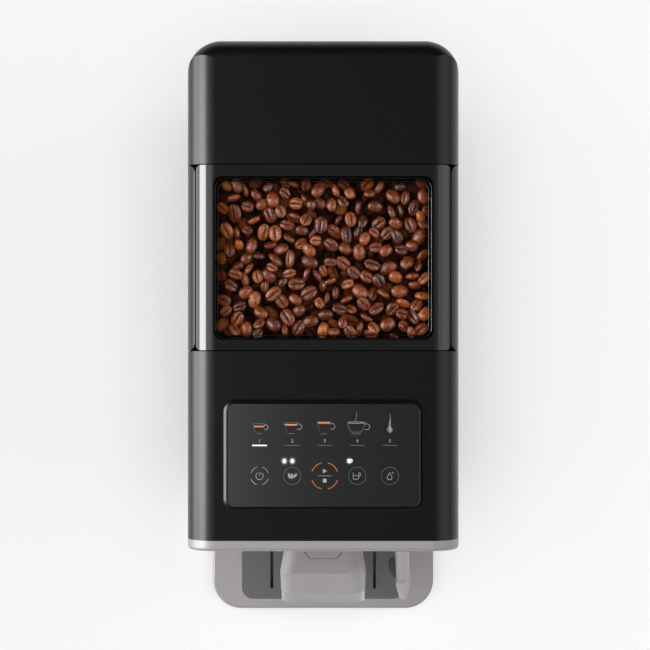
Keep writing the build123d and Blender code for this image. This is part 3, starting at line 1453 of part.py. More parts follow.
# Pump on two rubber mounts, with the flow meter on its inlet
pump_x = inlet_hose_x
pump_rise = 36.5
pump_z = base_top + pump_rise
pump_radius = 17.0
pump_front_gap = 28.9
pump_front_y = front_seam_y + pump_front_gap
pump_back_gap = 39.6
pump_back_y = rear_seam_y - pump_back_gap
pump_nose_radius = 8.0
pump_nose_length = 14.0
mount_length = 10.0
mount_half = 20.0
mount_height = 8.0
meter_radius = 14.0
meter_length = 16.0
with BuildPart() as water_pump:
    with BuildSketch(at_y(pump_back_y)):
        with Locations((pump_x, pump_z)):
            Circle(pump_radius)
    extrude(amount=pump_back_y - pump_front_y)
    chamfer(water_pump.edges().filter_by(GeomType.CIRCLE), length=overrun)
    with BuildSketch(at_y(pump_back_y + pump_nose_length)):
        with Locations((pump_x, pump_z)):
            Circle(pump_nose_radius)
    extrude(amount=pump_back_y - pump_front_y + 2 * pump_nose_length)
water_pump.part.label = "water_pump"
export_step(water_pump.part, "parts/water_pump.step")

with BuildPart() as pump_mounts:
    for mount_y in (pump_front_y + mount_length, pump_back_y - mount_length):
        extrude(front_area(pump_x - mount_half, pump_x + mount_half, base_top, pump_z,
                           mount_y + mount_length / 2), amount=mount_length)
    with BuildSketch(at_y(pump_back_y)):
        with Locations((pump_x, pump_z)):
            Circle(pump_radius + running)
    extrude(amount=pump_back_y - pump_front_y, mode=Mode.SUBTRACT)
pump_mounts.part.label = "pump_mounts"
export_step(pump_mounts.part, "parts/pump_mounts.step")

meter_front_y = pump_back_y + pump_nose_length
with BuildPart() as flow_meter:
    with BuildSketch(at_y(meter_front_y + meter_length)):
        with Locations((pump_x, pump_z)):
            Circle(meter_radius)
    extrude(amount=meter_length)
    chamfer(flow_meter.edges().filter_by(GeomType.CIRCLE), length=overrun / 2)
flow_meter.part.label = "flow_meter"
export_step(flow_meter.part, "parts/flow_meter.step")

# Hoses: tank to flow meter, pump to thermoblock, thermoblock to the steam wand and to the brew unit
hose_radius = 3.2
hose_bend_share = 0.45
hose_drop_gap = 14.0
pressure_hose_rise = 24.0


def hose(points):
    """A hose without its bore: straight runs, and bends as wide as the runs allow, turned about a centre."""
    corners = [Vector(*point) for point in points]
    runs = [after - before for before, after in zip(corners, corners[1:])]
    with BuildPart() as tube:
        start = corners[0]
        for before, after, corner in zip(runs, runs[1:], corners[1:]):
            turn = before.get_angle(after)
            reach = hose_bend_share * min(before.length, after.length)
            turn_way = before.cross(after).normalized()
            bend_start = corner - before.normalized() * reach
            centre = bend_start + turn_way.cross(before.normalized()) * (reach / tan(radians(turn) / 2))
            with BuildSketch(Plane(origin=start, z_dir=before)):
                Circle(hose_radius)
            extrude(amount=(bend_start - start).length)
            with BuildSketch(Plane(origin=bend_start, z_dir=before)):
                Circle(hose_radius)
            revolve(axis=Axis(centre, turn_way), revolution_arc=turn)
            start = corner + after.normalized() * reach
        with BuildSketch(Plane(origin=start, z_dir=runs[-1])):
            Circle(hose_radius)
        extrude(amount=(corners[-1] - start).length)
    return tube.part


nipple_low = platform_z - valve_radius
steam_hose_drop = 16.0
steam_hose_z = panel_top - steam_hose_drop
brew_hose_rise = 18.0
brew_hose_z = frame_high + brew_hose_rise
steam_hose_y = panel_back_y + hose_drop_gap
inlet_drop_y = bulkhead_front_y - meter_radius / 2
tank_to_meter = [(0, valve_y, nipple_low), (0, valve_y, inlet_hose_z),
                 (inlet_hose_x, valve_y - corner_round, inlet_hose_z),
                 (inlet_hose_x, inlet_drop_y, inlet_hose_z),
                 (inlet_hose_x, inlet_drop_y, pump_z - meter_radius)]
pump_to_heater = [(pump_x, pump_front_y - pump_nose_length, pump_z), (pump_x, pressure_hose_y, pump_z),
                  (pressure_hose_x, pressure_hose_y, pump_z + pressure_hose_rise),
                  (pressure_hose_x, pressure_hose_y, heater_low + heater_height / 2),
                  (pressure_hose_x, heater_back_y, heater_low + heater_height / 2)]
heater_to_wand = [(heater_x, heater_y, heater_high), (heater_x, heater_y, steam_hose_z),
                  (wand_x, steam_hose_y, steam_hose_z),
                  (wand_x, steam_hose_y, wand_socket_high - wand_radius),
                  (wand_x, panel_back_y, wand_socket_high - wand_radius)]
heater_to_brew = [(heater_right_x - heater_round, heater_back_y - heater_round, heater_high),
                  (heater_right_x - heater_round, heater_back_y - heater_round, brew_hose_z),
                  (brew_x, brew_y, brew_hose_z + hose_radius), (brew_x, brew_y, frame_high + piston_height)]
with BuildPart() as hoses:
    for route in (tank_to_meter, pump_to_heater, heater_to_wand, heater_to_brew):
        add(hose(route))
hoses.part.label = "hoses"
export_step(hoses.part, "parts/hoses.step")

# Power board on four standoffs, with its transformer, capacitors and relays
board_left_x = 8.0
board_right_inset = 10.8
board_right_x = inner_half - board_right_inset
board_front_gap = 16.9
board_front_y = front_seam_y + board_front_gap
board_back_gap = 15.6
board_back_y = rear_seam_y - board_back_gap
board_rise = 7.5
board_z = base_top + board_rise
standoff_radius = 3.0
board_inset = 6.0
transformer_size = 26.0
capacitor_radius = 6.0
capacitor_height = 20.0
capacitor_count = 3
relay_width = 16.0
relay_height = 15.0
board_x = (board_left_x + board_right_x) / 2
board_y = (board_front_y + board_back_y) / 2
with BuildPart() as power_board:
    extrude(flat_area(board_left_x, board_right_x, board_front_y, board_back_y, board_z, overrun),
            amount=board_thickness)
    with BuildSketch(Plane.XY.offset(base_top)):
        with Locations((board_x, board_y)):
            with GridLocations(board_right_x - board_left_x - 2 * board_inset,
                               board_back_y - board_front_y - 2 * board_inset, 2, 2):
                Circle(standoff_radius)
    extrude(amount=board_z - base_top)
    with BuildSketch(Plane.XY.offset(board_z + board_thickness)):
        with Locations((board_x, board_y)):
            RectangleRounded(transformer_size, transformer_size, overrun)
    extrude(amount=transformer_size)
    with BuildSketch(Plane.XY.offset(board_z + board_thickness)):
        with Locations((board_x, board_y + transformer_size)):
            with GridLocations(3 * capacitor_radius, capacitor_radius, capacitor_count, 1):
                Circle(capacitor_radius)
    extrude(amount=capacitor_height)
    with BuildSketch(Plane.XY.offset(board_z + board_thickness)):
        with Locations((board_x, board_y - transformer_size)):
            with GridLocations(relay_width + board_inset, relay_width, 2, 1):
                Rectangle(relay_width, relay_width)
    extrude(amount=relay_height)
power_board.part.label = "power_board"
export_step(power_board.part, "parts/power_board.step")

# Mains inlet and rocker switch in the back panel
inlet_flange = 3.0
inlet_flange_thickness = 1.6
inlet_depth = 24.0
socket_width = 24.0
socket_height = 16.0
socket_depth = 16.0
socket_chamfer = 4.5
contact_width = 2.0
contact_height = 4.0
contact_length = 10.0
contact_spacing = 7.0
with BuildPart() as mains_inlet:
    extrude(front_area(inlet_x - inlet_width / 2 + running, inlet_x + inlet_width / 2 - running,
                       inlet_z - inlet_height / 2 + running, inlet_z + inlet_height / 2 - running, back_y,
                       inlet_corner), amount=inlet_depth)
    extrude(front_area(inlet_x - inlet_width / 2 + inlet_flange, inlet_x + inlet_width / 2 - inlet_flange,
                       inlet_z - inlet_height / 2 + inlet_flange, inlet_z + inlet_height / 2 - inlet_flange,
                       back_y - socket_depth, inlet_corner), amount=seat)
    with BuildSketch(at_y(back_y)):
        with Locations((inlet_x, inlet_z)):
            socket = Rectangle(socket_width, socket_height)
            chamfer(socket.vertices().group_by(Axis.Y)[-1], length=socket_chamfer)
    extrude(amount=socket_depth, mode=Mode.SUBTRACT)
    with BuildSketch(at_y(back_y - socket_depth)):
        with Locations((inlet_x - contact_spacing, inlet_z - contact_width), (inlet_x, inlet_z + contact_width),
                       (inlet_x + contact_spacing, inlet_z - contact_width)):
            Rectangle(contact_width, contact_height)
    extrude(amount=-contact_length)
mains_inlet.part.label = "mains_inlet"
export_step(mains_inlet.part, "parts/mains_inlet.step")

switch_wall = 1.5
switch_depth = 16.0
rocker_pivot_y_inset = 6.0
rocker_gap = 0.4
rocker_angle = 12.0
rocker_radius = 9.0
rocker_pin_radius = 1.2
rocker_half_width = switch_width / 2 - switch_wall - rocker_gap
rocker_y = back_y - rocker_pivot_y_inset
with BuildPart() as switch_frame:
    extrude(front_area(switch_x - switch_width / 2 + running, switch_x + switch_width / 2 - running,
                       inlet_z - switch_height / 2 + running, inlet_z + switch_height / 2 - running, back_y,
                       switch_corner), amount=switch_depth)
    extrude(front_area(switch_x - switch_width / 2 + switch_wall, switch_x + switch_width / 2 - switch_wall,
                       inlet_z - switch_height / 2 + switch_wall, inlet_z + switch_height / 2 - switch_wall,
                       back_y), amount=switch_depth - switch_wall, mode=Mode.SUBTRACT)
    with BuildSketch(at_x(switch_x - switch_width / 2 + running)):
        with Locations((rocker_y, inlet_z)):
            Circle(rocker_pin_radius + running)
    extrude(amount=switch_width - 2 * running, mode=Mode.SUBTRACT)
switch_frame.part.label = "switch_frame"
export_step(switch_frame.part, "parts/switch_frame.step")

rocker_reach = switch_height / 2 - switch_wall - 2 * rocker_gap
with BuildPart() as switch_rocker:
    with BuildSketch(at_x(switch_x - rocker_half_width)):
        with BuildLine():
            Polyline((rocker_y, inlet_z - rocker_reach),
                     (back_y - rocker_gap, inlet_z - rocker_reach + rocker_gap),
                     (back_y - 2 * rocker_gap - tooth_depth, inlet_z),
                     (back_y - rocker_gap, inlet_z + rocker_reach - rocker_gap),
                     (rocker_y, inlet_z + rocker_reach),
                     (rocker_y - 2 * rocker_pin_radius, inlet_z), close=True)
        make_face()
    extrude(amount=2 * rocker_half_width)
    with BuildSketch(at_x(switch_x - switch_width / 2 + switch_wall / 2)):
        with Locations((rocker_y, inlet_z)):
            Circle(rocker_pin_radius)
    extrude(amount=switch_width - switch_wall)
switch_rocker.part.label = "switch_rocker"
export_step(switch_rocker.part, "parts/switch_rocker.step")

# Screws: round heads sunk in the back panel, each with a slot
screw_slot_width = 0.9
screw_slot_depth = 0.8
with BuildPart() as panel_screws:
    with BuildSketch(at_y(back_y - screw_sink)):
        with Locations((-screw_x, screw_z), (screw_x, screw_z)):
            Circle(screw_radius)
    extrude(amount=screw_head)
    with BuildSketch(at_y(back_y - screw_sink)):
        with Locations((-screw_x, screw_z), (screw_x, screw_z)):
            Rectangle(2 * screw_radius, screw_slot_width)
    extrude(amount=screw_slot_depth, mode=Mode.SUBTRACT)
panel_screws.part.label = "panel_screws"
export_step(panel_screws.part, "parts/panel_screws.step")
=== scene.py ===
"""A slim bean to cup coffee machine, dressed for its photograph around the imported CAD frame."""
import json
import math

import bpy
import numpy as np
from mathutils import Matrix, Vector


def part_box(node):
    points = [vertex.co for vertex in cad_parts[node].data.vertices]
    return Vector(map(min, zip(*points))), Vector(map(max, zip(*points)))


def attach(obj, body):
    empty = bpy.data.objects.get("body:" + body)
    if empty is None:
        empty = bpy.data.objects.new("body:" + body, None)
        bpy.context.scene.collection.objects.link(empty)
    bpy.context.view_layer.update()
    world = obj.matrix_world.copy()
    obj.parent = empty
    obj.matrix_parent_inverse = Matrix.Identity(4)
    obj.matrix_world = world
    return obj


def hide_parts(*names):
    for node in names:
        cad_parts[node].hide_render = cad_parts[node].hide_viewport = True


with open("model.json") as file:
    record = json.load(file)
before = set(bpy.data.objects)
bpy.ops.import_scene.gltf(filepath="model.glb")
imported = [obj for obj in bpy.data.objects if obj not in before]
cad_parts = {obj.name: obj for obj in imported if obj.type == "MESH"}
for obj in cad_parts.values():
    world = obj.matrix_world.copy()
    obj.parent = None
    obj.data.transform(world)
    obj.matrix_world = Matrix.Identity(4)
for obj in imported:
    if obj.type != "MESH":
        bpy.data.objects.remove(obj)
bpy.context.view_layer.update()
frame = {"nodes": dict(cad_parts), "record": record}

bl_info = {
    "name": "Bean to cup coffee machine",
    "version": (1, 0, 0),
    "blender": (4, 5, 0),
    "location": "3D View > Sidebar > Coffee Machine",
    "description": "Builds the coffee beans, panel print, finishes and studio around the packed model",
    "category": "Object",
}

MM = 0.001
MM_IN_A_METRE = 1000
# The photograph's frame, and the camera's place over the machine
PHOTO_PIXELS = 650
SENSOR_MM = 36.0
FOCAL_PIXELS = 1745.0
PRINCIPAL_PIXEL_X = 323.2
CAMERA_Y_MM = 22.1
CAMERA_Z_MM = 1478.0
# A Mix node's sockets for colours: its two inputs, and its output
MIX_A, MIX_B, MIX_RESULT = 6, 7, 2


# Small helpers


def hex_linear(code):
    """Turns an sRGB hex colour such as "B0ACAC" into the linear values that shaders use."""
    values = []
    for start in (0, 2, 4):
        c = int(code[start:start + 2], 16) / 255
        values.append(c / 12.92 if c <= 0.04045 else ((c + 0.055) / 1.055) ** 2.4)
    return (*values, 1.0)


def box_mm(node):
    """A CAD node's lowest and highest corners, in millimetres."""
    low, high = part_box(node)
    return np.array(low) / MM, np.array(high) / MM


def once_round(count):
    """Evenly spaced angles once round a circle, without the last one that meets the first."""
    return np.linspace(0, 2 * math.pi, count, endpoint=False)


def grid_quads(rows, columns, close_rows=False, close_columns=False):
    """The quads of a grid of points that is numbered row by row, with its ends joined where asked."""
    r = np.arange(rows if close_rows else rows - 1)
    c = np.arange(columns if close_columns else columns - 1)
    r, c = (a.ravel() for a in np.meshgrid(r, c, indexing="ij"))
    r2, c2 = (r + 1) % rows, (c + 1) % columns
    return np.stack([r * columns + c, r * columns + c2, r2 * columns + c2, r2 * columns + c], axis=1)


def add_object(name, data):
    """Puts a mesh, lamp, camera or text into the scene as an object at the origin."""
    item = bpy.data.objects.new(name, data)
    bpy.context.scene.collection.objects.link(item)
    return item


def place_piece(name, mesh, body):
    """Puts a finished mesh into the scene, and lets it ride on a CAD body."""
    piece = add_object(name, mesh)
    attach(piece, body)
    return piece


def make_piece(name, points_mm, body, slot, faces=None, materials=None, indices=None, smooth=True,
               fields=None):
    """Makes a piece from points in millimetres; fields are numbers that its points carry.

    Without faces the points are closed rings, joined by quads. Without materials it has its slot's finish.
    """
    points = np.asarray(points_mm, float)
    if faces is None:
        faces = grid_quads(*points.shape[:2], close_columns=True)
    mesh = bpy.data.meshes.new(name)
    mesh.from_pydata((points.reshape(-1, 3) * MM).tolist(), [],
                     faces.tolist() if isinstance(faces, np.ndarray) else faces)
    for material in materials or [SLOT_MATERIALS[slot]]:
        mesh.materials.append(bpy.data.materials[material])
    if indices is not None:
        mesh.polygons.foreach_set("material_index", np.asarray(indices, np.int32))
    mesh.polygons.foreach_set("use_smooth", np.full(len(faces), smooth))
    for field, values in (fields or {}).items():
        layer = mesh.attributes.new(field, "FLOAT", "POINT")
        layer.data.foreach_set("value", np.asarray(values, np.float32).ravel())
    mesh.update()
    return place_piece(name, mesh, body)


class Pile:
    """Gathers several grids of quads, each with a material, into the arrays of one mesh."""

    def __init__(self):
        self.points, self.quads, self.indices, self.count = [], [], [], 0

    def add(self, points, quads, index=0):
        points = np.asarray(points, float).reshape(-1, 3)
        self.points.append(points)
        self.quads.append(np.asarray(quads) + self.count)
        self.indices.append(np.full(len(quads), index))
        self.count += len(points)

    def arrays(self):
        return np.concatenate(self.points), np.concatenate(self.quads), np.concatenate(self.indices)


# Materials


def clear_tree(owner):
    """Turns on the nodes of a material or world, and gives its tree without the nodes that it starts with."""
    owner.use_nodes = True
    owner.node_tree.nodes.clear()
    return owner.node_tree


def add_node(tree, kind, sockets=None, **settings):
    """Adds one shader node, sets its properties, and fills each named input with a value or a link.

    A node given for an input stands for its own first output.
    """
    item = tree.nodes.new("ShaderNode" + kind)
    for key, value in settings.items():
        setattr(item, key, value)
    for key, value in (sockets or {}).items():
        if isinstance(value, bpy.types.Node):
            value = value.outputs[0]
        if isinstance(value, bpy.types.NodeSocket):
            tree.links.new(value, item.inputs[key])
        else:
            item.inputs[key].default_value = value
    return item


def finish_material(name, colour, roughness, shade_spread=0.05, shade_mm=30.0, grain_mm=0.5,
                    grain_depth_mm=0.01, roughness_spread=0.04, stretch=(1.0, 1.0, 1.0), colour_to=None,
                    **sockets):
    """One surface: a colour that drifts slightly over a large noise, and a fine grain in roughness and bump.

    The grain is a noise whose cells are grain_mm across, squeezed along an axis where stretch is not 1.
    Everything that is the same all over the surface is set on the shader's own sockets.
    """
    tree = clear_tree(bpy.data.materials.new(name))
    place = add_node(tree, "TexCoord").outputs["Object"]
    stretched = add_node(tree, "Mapping", {"Vector": place, "Scale": stretch})
    drift = add_node(tree, "TexNoise", {"Vector": place, "Scale": MM_IN_A_METRE / shade_mm, "Detail": 2.0})
    grain = add_node(tree, "TexNoise", {
        "Vector": stretched, "Scale": MM_IN_A_METRE / grain_mm, "Detail": 3.0})
    dark = [c * (1 - shade_spread) for c in hex_linear(colour)[:3]] + [1.0]
    light = [c * (1 + shade_spread) for c in hex_linear(colour_to or colour)[:3]] + [1.0]
    shade = add_node(tree, "Mix", {"Factor": drift, MIX_A: dark, MIX_B: light}, data_type="RGBA")
    rough = add_node(tree, "MapRange", {
        "Value": grain, "To Min": roughness - roughness_spread, "To Max": roughness + roughness_spread})
    bump = add_node(tree, "Bump", {"Height": grain, "Strength": 1.0, "Distance": grain_depth_mm * MM})
    shader = add_node(tree, "BsdfPrincipled", {
        "Base Color": shade.outputs[MIX_RESULT], "Roughness": rough, "Normal": bump, **sockets})
    add_node(tree, "OutputMaterial", {"Surface": shader})


def lit_material(name, colour, strength):
    """Screen print with a light behind it: its colour, and the same colour given off at a set strength."""
    finish_material(name, colour, 0.5, shade_spread=0.0, grain_depth_mm=0.0, roughness_spread=0.05,
                    **{"Emission Color": hex_linear(colour), "Emission Strength": strength})


def glow_material(name, colour, strength):
    """The soft halo of a lamp behind dark glass: light that fades with a power of the mesh's fade field."""
    fade_power = 2.2
    tree = clear_tree(bpy.data.materials.new(name))
    fade = add_node(tree, "Attribute", attribute_name="fade").outputs["Fac"]
    curve = add_node(tree, "Math", {0: fade, 1: fade_power}, operation="POWER")
    shader = add_node(tree, "BsdfPrincipled", {
        "Base Color": hex_linear(colour), "Roughness": 0.6, "Emission Color": hex_linear(colour),
        "Emission Strength": strength, "Alpha": curve})
    add_node(tree, "OutputMaterial", {"Surface": shader})


def bean_material(name, gloss):
    """Roasted coffee: red-brown skin with a film of oil. Its colour is darker in the hollows of its wrinkles,
    partly random tone and partly painted shade, and nearly black in the crease, which is painted shade.

    The mesh's fields give each bean's roast (tone), its painted shade from how deep it lies in the heap and
    how near the hopper's walls (depth), and its crease.
    """
    wrinkle_mm, wrinkle_depth_mm, dark_below_mm = 1.9, 0.45, 3.6
    tree = clear_tree(bpy.data.materials.new(name))
    place = add_node(tree, "TexCoord").outputs["Object"]
    tone, crease, depth = (add_node(tree, "Attribute", attribute_name=field).outputs["Fac"]
                           for field in ("tone", "crease", "depth"))
    wrinkle = add_node(tree, "TexNoise", {
        "Vector": place, "Scale": MM_IN_A_METRE / wrinkle_mm, "Detail": 5.0, "Roughness": 0.65,
        "Distortion": 0.6})
    skin = add_node(tree, "ValToRGB", {"Fac": tone})
    skin.color_ramp.elements[0].color = hex_linear("4E1E0B")
    skin.color_ramp.elements[1].color = hex_linear("BA6226")
    skin.color_ramp.elements.new(0.5).color = hex_linear("843C17")
    # The skin is darker in the hollows of its wrinkles and lighter on their crests, where the bump rises:
    # partly random tone, partly painted shade and painted light
    wrinkle_tone_and_shade = add_node(tree, "MapRange", {
        "Value": wrinkle, "From Min": 0.35, "From Max": 0.65, "To Min": 0.3, "To Max": 1.45})
    # Painted shade: beans deep in the heap or beside the hopper's walls darken to a tenth of their colour
    shadow = add_node(tree, "MapRange", {
        "Value": depth, "From Max": dark_below_mm, "To Min": 1.0, "To Max": 0.1})
    wrinkle_and_depth_shade = add_node(tree, "Math", {0: wrinkle_tone_and_shade, 1: shadow}, operation="MULTIPLY")
    shaded = add_node(tree, "VectorMath", {0: skin, 1: wrinkle_and_depth_shade}, operation="MULTIPLY")
    # Painted shade in the crease: towards the groove's bottom the colour turns nearly black
    crease_shade = add_node(tree, "Mix", {"Factor": crease, MIX_A: shaded, MIX_B: hex_linear("120603")},
                    data_type="RGBA")
    oily = add_node(tree, "MapRange", {"Value": wrinkle, "To Min": 0.16, "To Max": 0.42})
    # The crease and the beans deep in the heap are dull
    dull = add_node(tree, "Math", {0: depth, 1: 0.14, 2: oily}, operation="MULTIPLY_ADD")
    rough = add_node(tree, "Math", {0: crease, 1: 0.7, 2: dull}, operation="MULTIPLY_ADD", use_clamp=True)
    bump = add_node(tree, "Bump", {"Height": wrinkle, "Strength": 1.0, "Distance": wrinkle_depth_mm * MM})
    shader = add_node(tree, "BsdfPrincipled", {
        "Base Color": crease_shade.outputs[MIX_RESULT], "Roughness": rough, "Normal": bump, "IOR": 1.5,
        "Specular IOR Level": gloss})
    add_node(tree, "OutputMaterial", {"Surface": shader})


def make_materials():
    """Every finish on the machine, named for what the real one is made of."""
    # ABS moulded in a spark-eroded tool: deep black with a fine even grain and a soft broad sheen
    finish_material("Grained black ABS", "0A0A0B", 0.28, grain_mm=0.6, grain_depth_mm=0.008,
                    roughness_spread=0.03, **{"Specular IOR Level": 0.46})
    # Polished ABS with a clear lacquer: a dark mirror with crisp reflections and hardly any grain
    finish_material("Piano black ABS", "0B0B0C", 0.15, grain_mm=3.0, grain_depth_mm=0.001,
                    roughness_spread=0.02,
                    **{"Specular IOR Level": 0.5, "Coat Weight": 1.0, "Coat Roughness": 0.09})
    # Warm silver two-coat paint: tiny flakes give a satin, slightly sparkling grey
    finish_material("Warm silver paint", "9D9899", 0.42, shade_spread=0.02, grain_mm=0.35,
                    grain_depth_mm=0.004, roughness_spread=0.06,
                    **{"Metallic": 0.25, "Coat Weight": 0.15, "Coat Roughness": 0.3})
    # Dark plated trim: a mirror band, drawn along its length
    finish_material("Plated trim", "9C9C9C", 0.12, shade_spread=0.02, grain_mm=0.4, grain_depth_mm=0.001,
                    roughness_spread=0.03, stretch=(1.0, 8.0, 8.0), **{"Metallic": 1.0})
    # Powder coated steel sheet: mid grey with a fine pebble
    finish_material("Powder coated grey steel", "5C5C5C", 0.55, shade_spread=0.03, grain_depth_mm=0.02,
                    **{"Metallic": 0.1})
    # Clear copolyester: almost invisible, with a thin clean gloss
    finish_material("Clear copolyester", "070707", 0.04, grain_mm=6.0, grain_depth_mm=0.001,
                    roughness_spread=0.02, **{"Alpha": 0.06, "Specular IOR Level": 0.5})
    # Smoked touch glass: near black, polished, with a faint drift of tone
    finish_material("Smoked touch glass", "0F0F10", 0.22, grain_mm=4.0, grain_depth_mm=0.0005,
                    roughness_spread=0.02,
                    **{"Specular IOR Level": 0.8, "Coat Weight": 0.3, "Coat Roughness": 0.2})
    # Smoked polycarbonate of the hopper: black-brown, polished, with the streaks of rubbed-off coffee oil
    finish_material("Smoked polycarbonate", "0A0807", 0.18, grain_mm=5.0, grain_depth_mm=0.002,
                    roughness_spread=0.1, **{"Specular IOR Level": 0.6})
    # Silicone and moulded rubber: dull dark grey with a dry skin
    finish_material("Black silicone rubber", "222223", 0.72, grain_mm=0.8, grain_depth_mm=0.02)
    # Ground and turned steel: fine rings and a clear metal sheen
    finish_material("Turned steel", "C4C4C2", 0.25, grain_mm=0.3, grain_depth_mm=0.003,
                    stretch=(1.0, 1.0, 12.0), roughness_spread=0.08, **{"Metallic": 1.0})
    # Pressure-cast aluminium: pale, matt and slightly cloudy
    finish_material("Cast aluminium", "C2C3C6", 0.48, shade_spread=0.06, shade_mm=12.0, grain_mm=1.2,
                    grain_depth_mm=0.05, **{"Metallic": 1.0})
    # Zinc plated motor cans: blue-grey with spangle
    finish_material("Zinc plated steel", "9EA3A8", 0.33, shade_spread=0.1, shade_mm=8.0, grain_mm=1.0,
                    grain_depth_mm=0.005, **{"Metallic": 1.0})
    # Natural glass-filled nylon: off-white, with faint glass fibres showing
    finish_material("Natural nylon", "BDBBB2", 0.5, grain_mm=0.9, grain_depth_mm=0.02,
                    stretch=(1.0, 4.0, 1.0))
    # Lacquered circuit board: green solder mask with small height changes
    finish_material("Green circuit board", "155028", 0.3, shade_spread=0.12, shade_mm=4.0, grain_mm=1.6,
                    grain_depth_mm=0.05, colour_to="1F6B38")
    bean_material("Dark roasted coffee", 0.85)
    # A shaded copy of the same beans for those deep in the heap, with hardly any gloss: painted shade, where
    # hardly any light is left for their oil to mirror
    bean_material("Coffee in shade", 0.12)
    # The unlit bottom of the heap: beans that hardly any light reaches
    finish_material("Shadowed coffee", "050302", 0.9, grain_mm=2.0, grain_depth_mm=0.3,
                    **{"Specular IOR Level": 0.05})
    lit_material("Grey panel print", "A0A0A1", 0.06)
    lit_material("Dim panel print", "69696A", 0.03)
    lit_material("White panel lamp", "F2F4F3", 0.35)
    lit_material("Orange panel print", "C76A33", 0.12)
    lit_material("Pale crema panel print", "DDA98A", 0.12)
    lit_material("Crema panel print", "C8602A", 0.12)
    lit_material("Coffee panel print", "1A0A07", 0.03)
    glow_material("Panel lamp glow", "FFFFFF", 0.22)


SLOT_MATERIALS = {
    "matte_black": "Grained black ABS",
    "gloss_black": "Piano black ABS",
    "silver_paint": "Warm silver paint",
    "chrome_trim": "Plated trim",
    "grate_grey": "Powder coated grey steel",
    "clear_plastic": "Clear copolyester",
    "tinted_glass": "Smoked touch glass",
    "hopper_plastic": "Smoked polycarbonate",
    "roasted_beans": "Dark roasted coffee",
    "soft_rubber": "Black silicone rubber",
    "bright_steel": "Turned steel",
    "cast_aluminium": "Cast aluminium",
    "motor_steel": "Zinc plated steel",
    "works_plastic": "Natural nylon",
    "circuit_board": "Green circuit board",
}


# Sizes that a user would change


def length_prop(name, description, default_mm):
    """A property that holds a length, with its default in millimetres."""
    return bpy.props.FloatProperty(name=name, description=description, default=default_mm * MM, unit="LENGTH")


class COFFEE_PG_beans(bpy.types.PropertyGroup):
    """Sizes of the heap of coffee beans."""

    bean_length: length_prop("Bean length", "Length of a bean", 10.4)
    bean_width: length_prop("Bean width", "Width of a bean", 8.0)
    bean_height: length_prop("Bean height", "Thickness of a bean", 5.7)
    heap_low: length_prop("Heap floor", "Height where the loose beans start", 302.0)
    heap_high: length_prop("Heap top", "Height that no bean passes", 328.5)
    bean_count: bpy.props.IntProperty(name="Beans", description="How many beans are dropped", default=900,
                                      min=1)
    seed: bpy.props.IntProperty(name="Seed", description="Start of the random sequence", default=7)


class COFFEE_PG_panel(bpy.types.PropertyGroup):
    """Places and strokes of the symbols on the touch panel."""

    first_column: length_prop("First column", "X of the first symbol", -41.6)
    column_pitch: length_prop("Column pitch", "From one symbol to the next", 21.3)
    cup_row: length_prop("Cup row", "Y of the rims of the cups", -43.2)
    numeral_row: length_prop("Numeral row", "Y of the numerals", -53.7)
    underline_row: length_prop("Underline row", "Y of the underlines", -56.6)
    lamp_row: length_prop("Lamp row", "Y of the small lamps", -66.8)
    button_row: length_prop("Button row", "Y of the round buttons", -76.5)
    stroke: length_prop("Stroke", "Width of the printed lines", 0.3)
    print_thickness: length_prop("Print thickness", "Thickness of the printed ink", 0.03)


class COFFEE_PG_studio(bpy.types.PropertyGroup):
    """Floor, lamps and camera."""

    floor_colour: bpy.props.FloatVectorProperty(name="Floor colour", description="Colour of the floor",
                                                subtype="COLOR", default=(0.95, 0.95, 0.95))
    floor_lift: bpy.props.FloatProperty(
        name="Floor lift", description="How much whiter the floor is seen than lit", default=0.18)
    key_radiance: bpy.props.FloatProperty(
        name="Key light", description="Radiance of the softbox on the left", default=3.8)
    overhead_irradiance: bpy.props.FloatProperty(
        name="Overhead light", description="Irradiance of the broad light from above", default=1.82)
    lens: bpy.props.FloatProperty(name="Lens", description="Focal length in millimetres",
                                  default=FOCAL_PIXELS * SENSOR_MM / PHOTO_PIXELS)
    camera_height: length_prop("Camera height", "Height of the camera", CAMERA_Z_MM)


# Coffee beans


def bean_shape(rings, sides_deg, length, width, height):
    """One coffee bean around the origin, its crease facing +Z, as rings of points along its length.

    Along the length the half-section shrinks as the square root of one minus the place to the power of 2.5.
    Round the section the back is half an ellipse, and the face is a flatter one with a groove along its
    middle. Returns the points, and how deep in the groove each one lies, from 0 to 1.
    """
    face_share, groove_width_share, groove_depth_share = 0.62, 0.2, 0.24
    t = np.linspace(-1, 1, rings + 2)[1:-1]
    t = np.sin(t * math.pi / 2)
    angle = np.radians(np.asarray(sides_deg))
    t, angle = np.meshgrid(t, angle, indexing="ij")
    taper = np.sqrt(1 - np.abs(t) ** 2.5)
    up = np.sin(angle)
    face = np.where(up > 0, face_share, 1.0)
    groove = np.clip(1 - np.abs(np.cos(angle)) / groove_width_share, 0, 1) * (up > 0)
    x = length / 2 * t
    y = width / 2 * taper * np.cos(angle)
    z = height / 2 * taper * up * face - groove * taper * height * groove_depth_share
    return np.stack([x, y, z], axis=-1), groove * taper


def bean_faces(rings, sides):
    """The faces of a bean: a tube of quads, and a fan of triangles round the end point at each end."""
    tube = grid_quads(rings, sides, close_columns=True)
    s = np.arange(sides)
    s2 = (s + 1) % sides
    first, last = rings * sides, rings * sides + 1
    base = (rings - 1) * sides
    low = np.stack([s2, s, np.full(sides, first)], axis=1)
    high = np.stack([base + s, base + s2, np.full(sides, last)], axis=1)
    return tube, np.concatenate([low, high])


def turn_matrix(axis, angle):
    """The rotation matrix of an angle about a unit axis, by Rodrigues' formula."""
    k = np.array([[0, -axis[2], axis[1]], [axis[2], 0, -axis[0]], [-axis[1], axis[0], 0]])
    return np.eye(3) + math.sin(angle) * k + (1 - math.cos(angle)) * k @ k


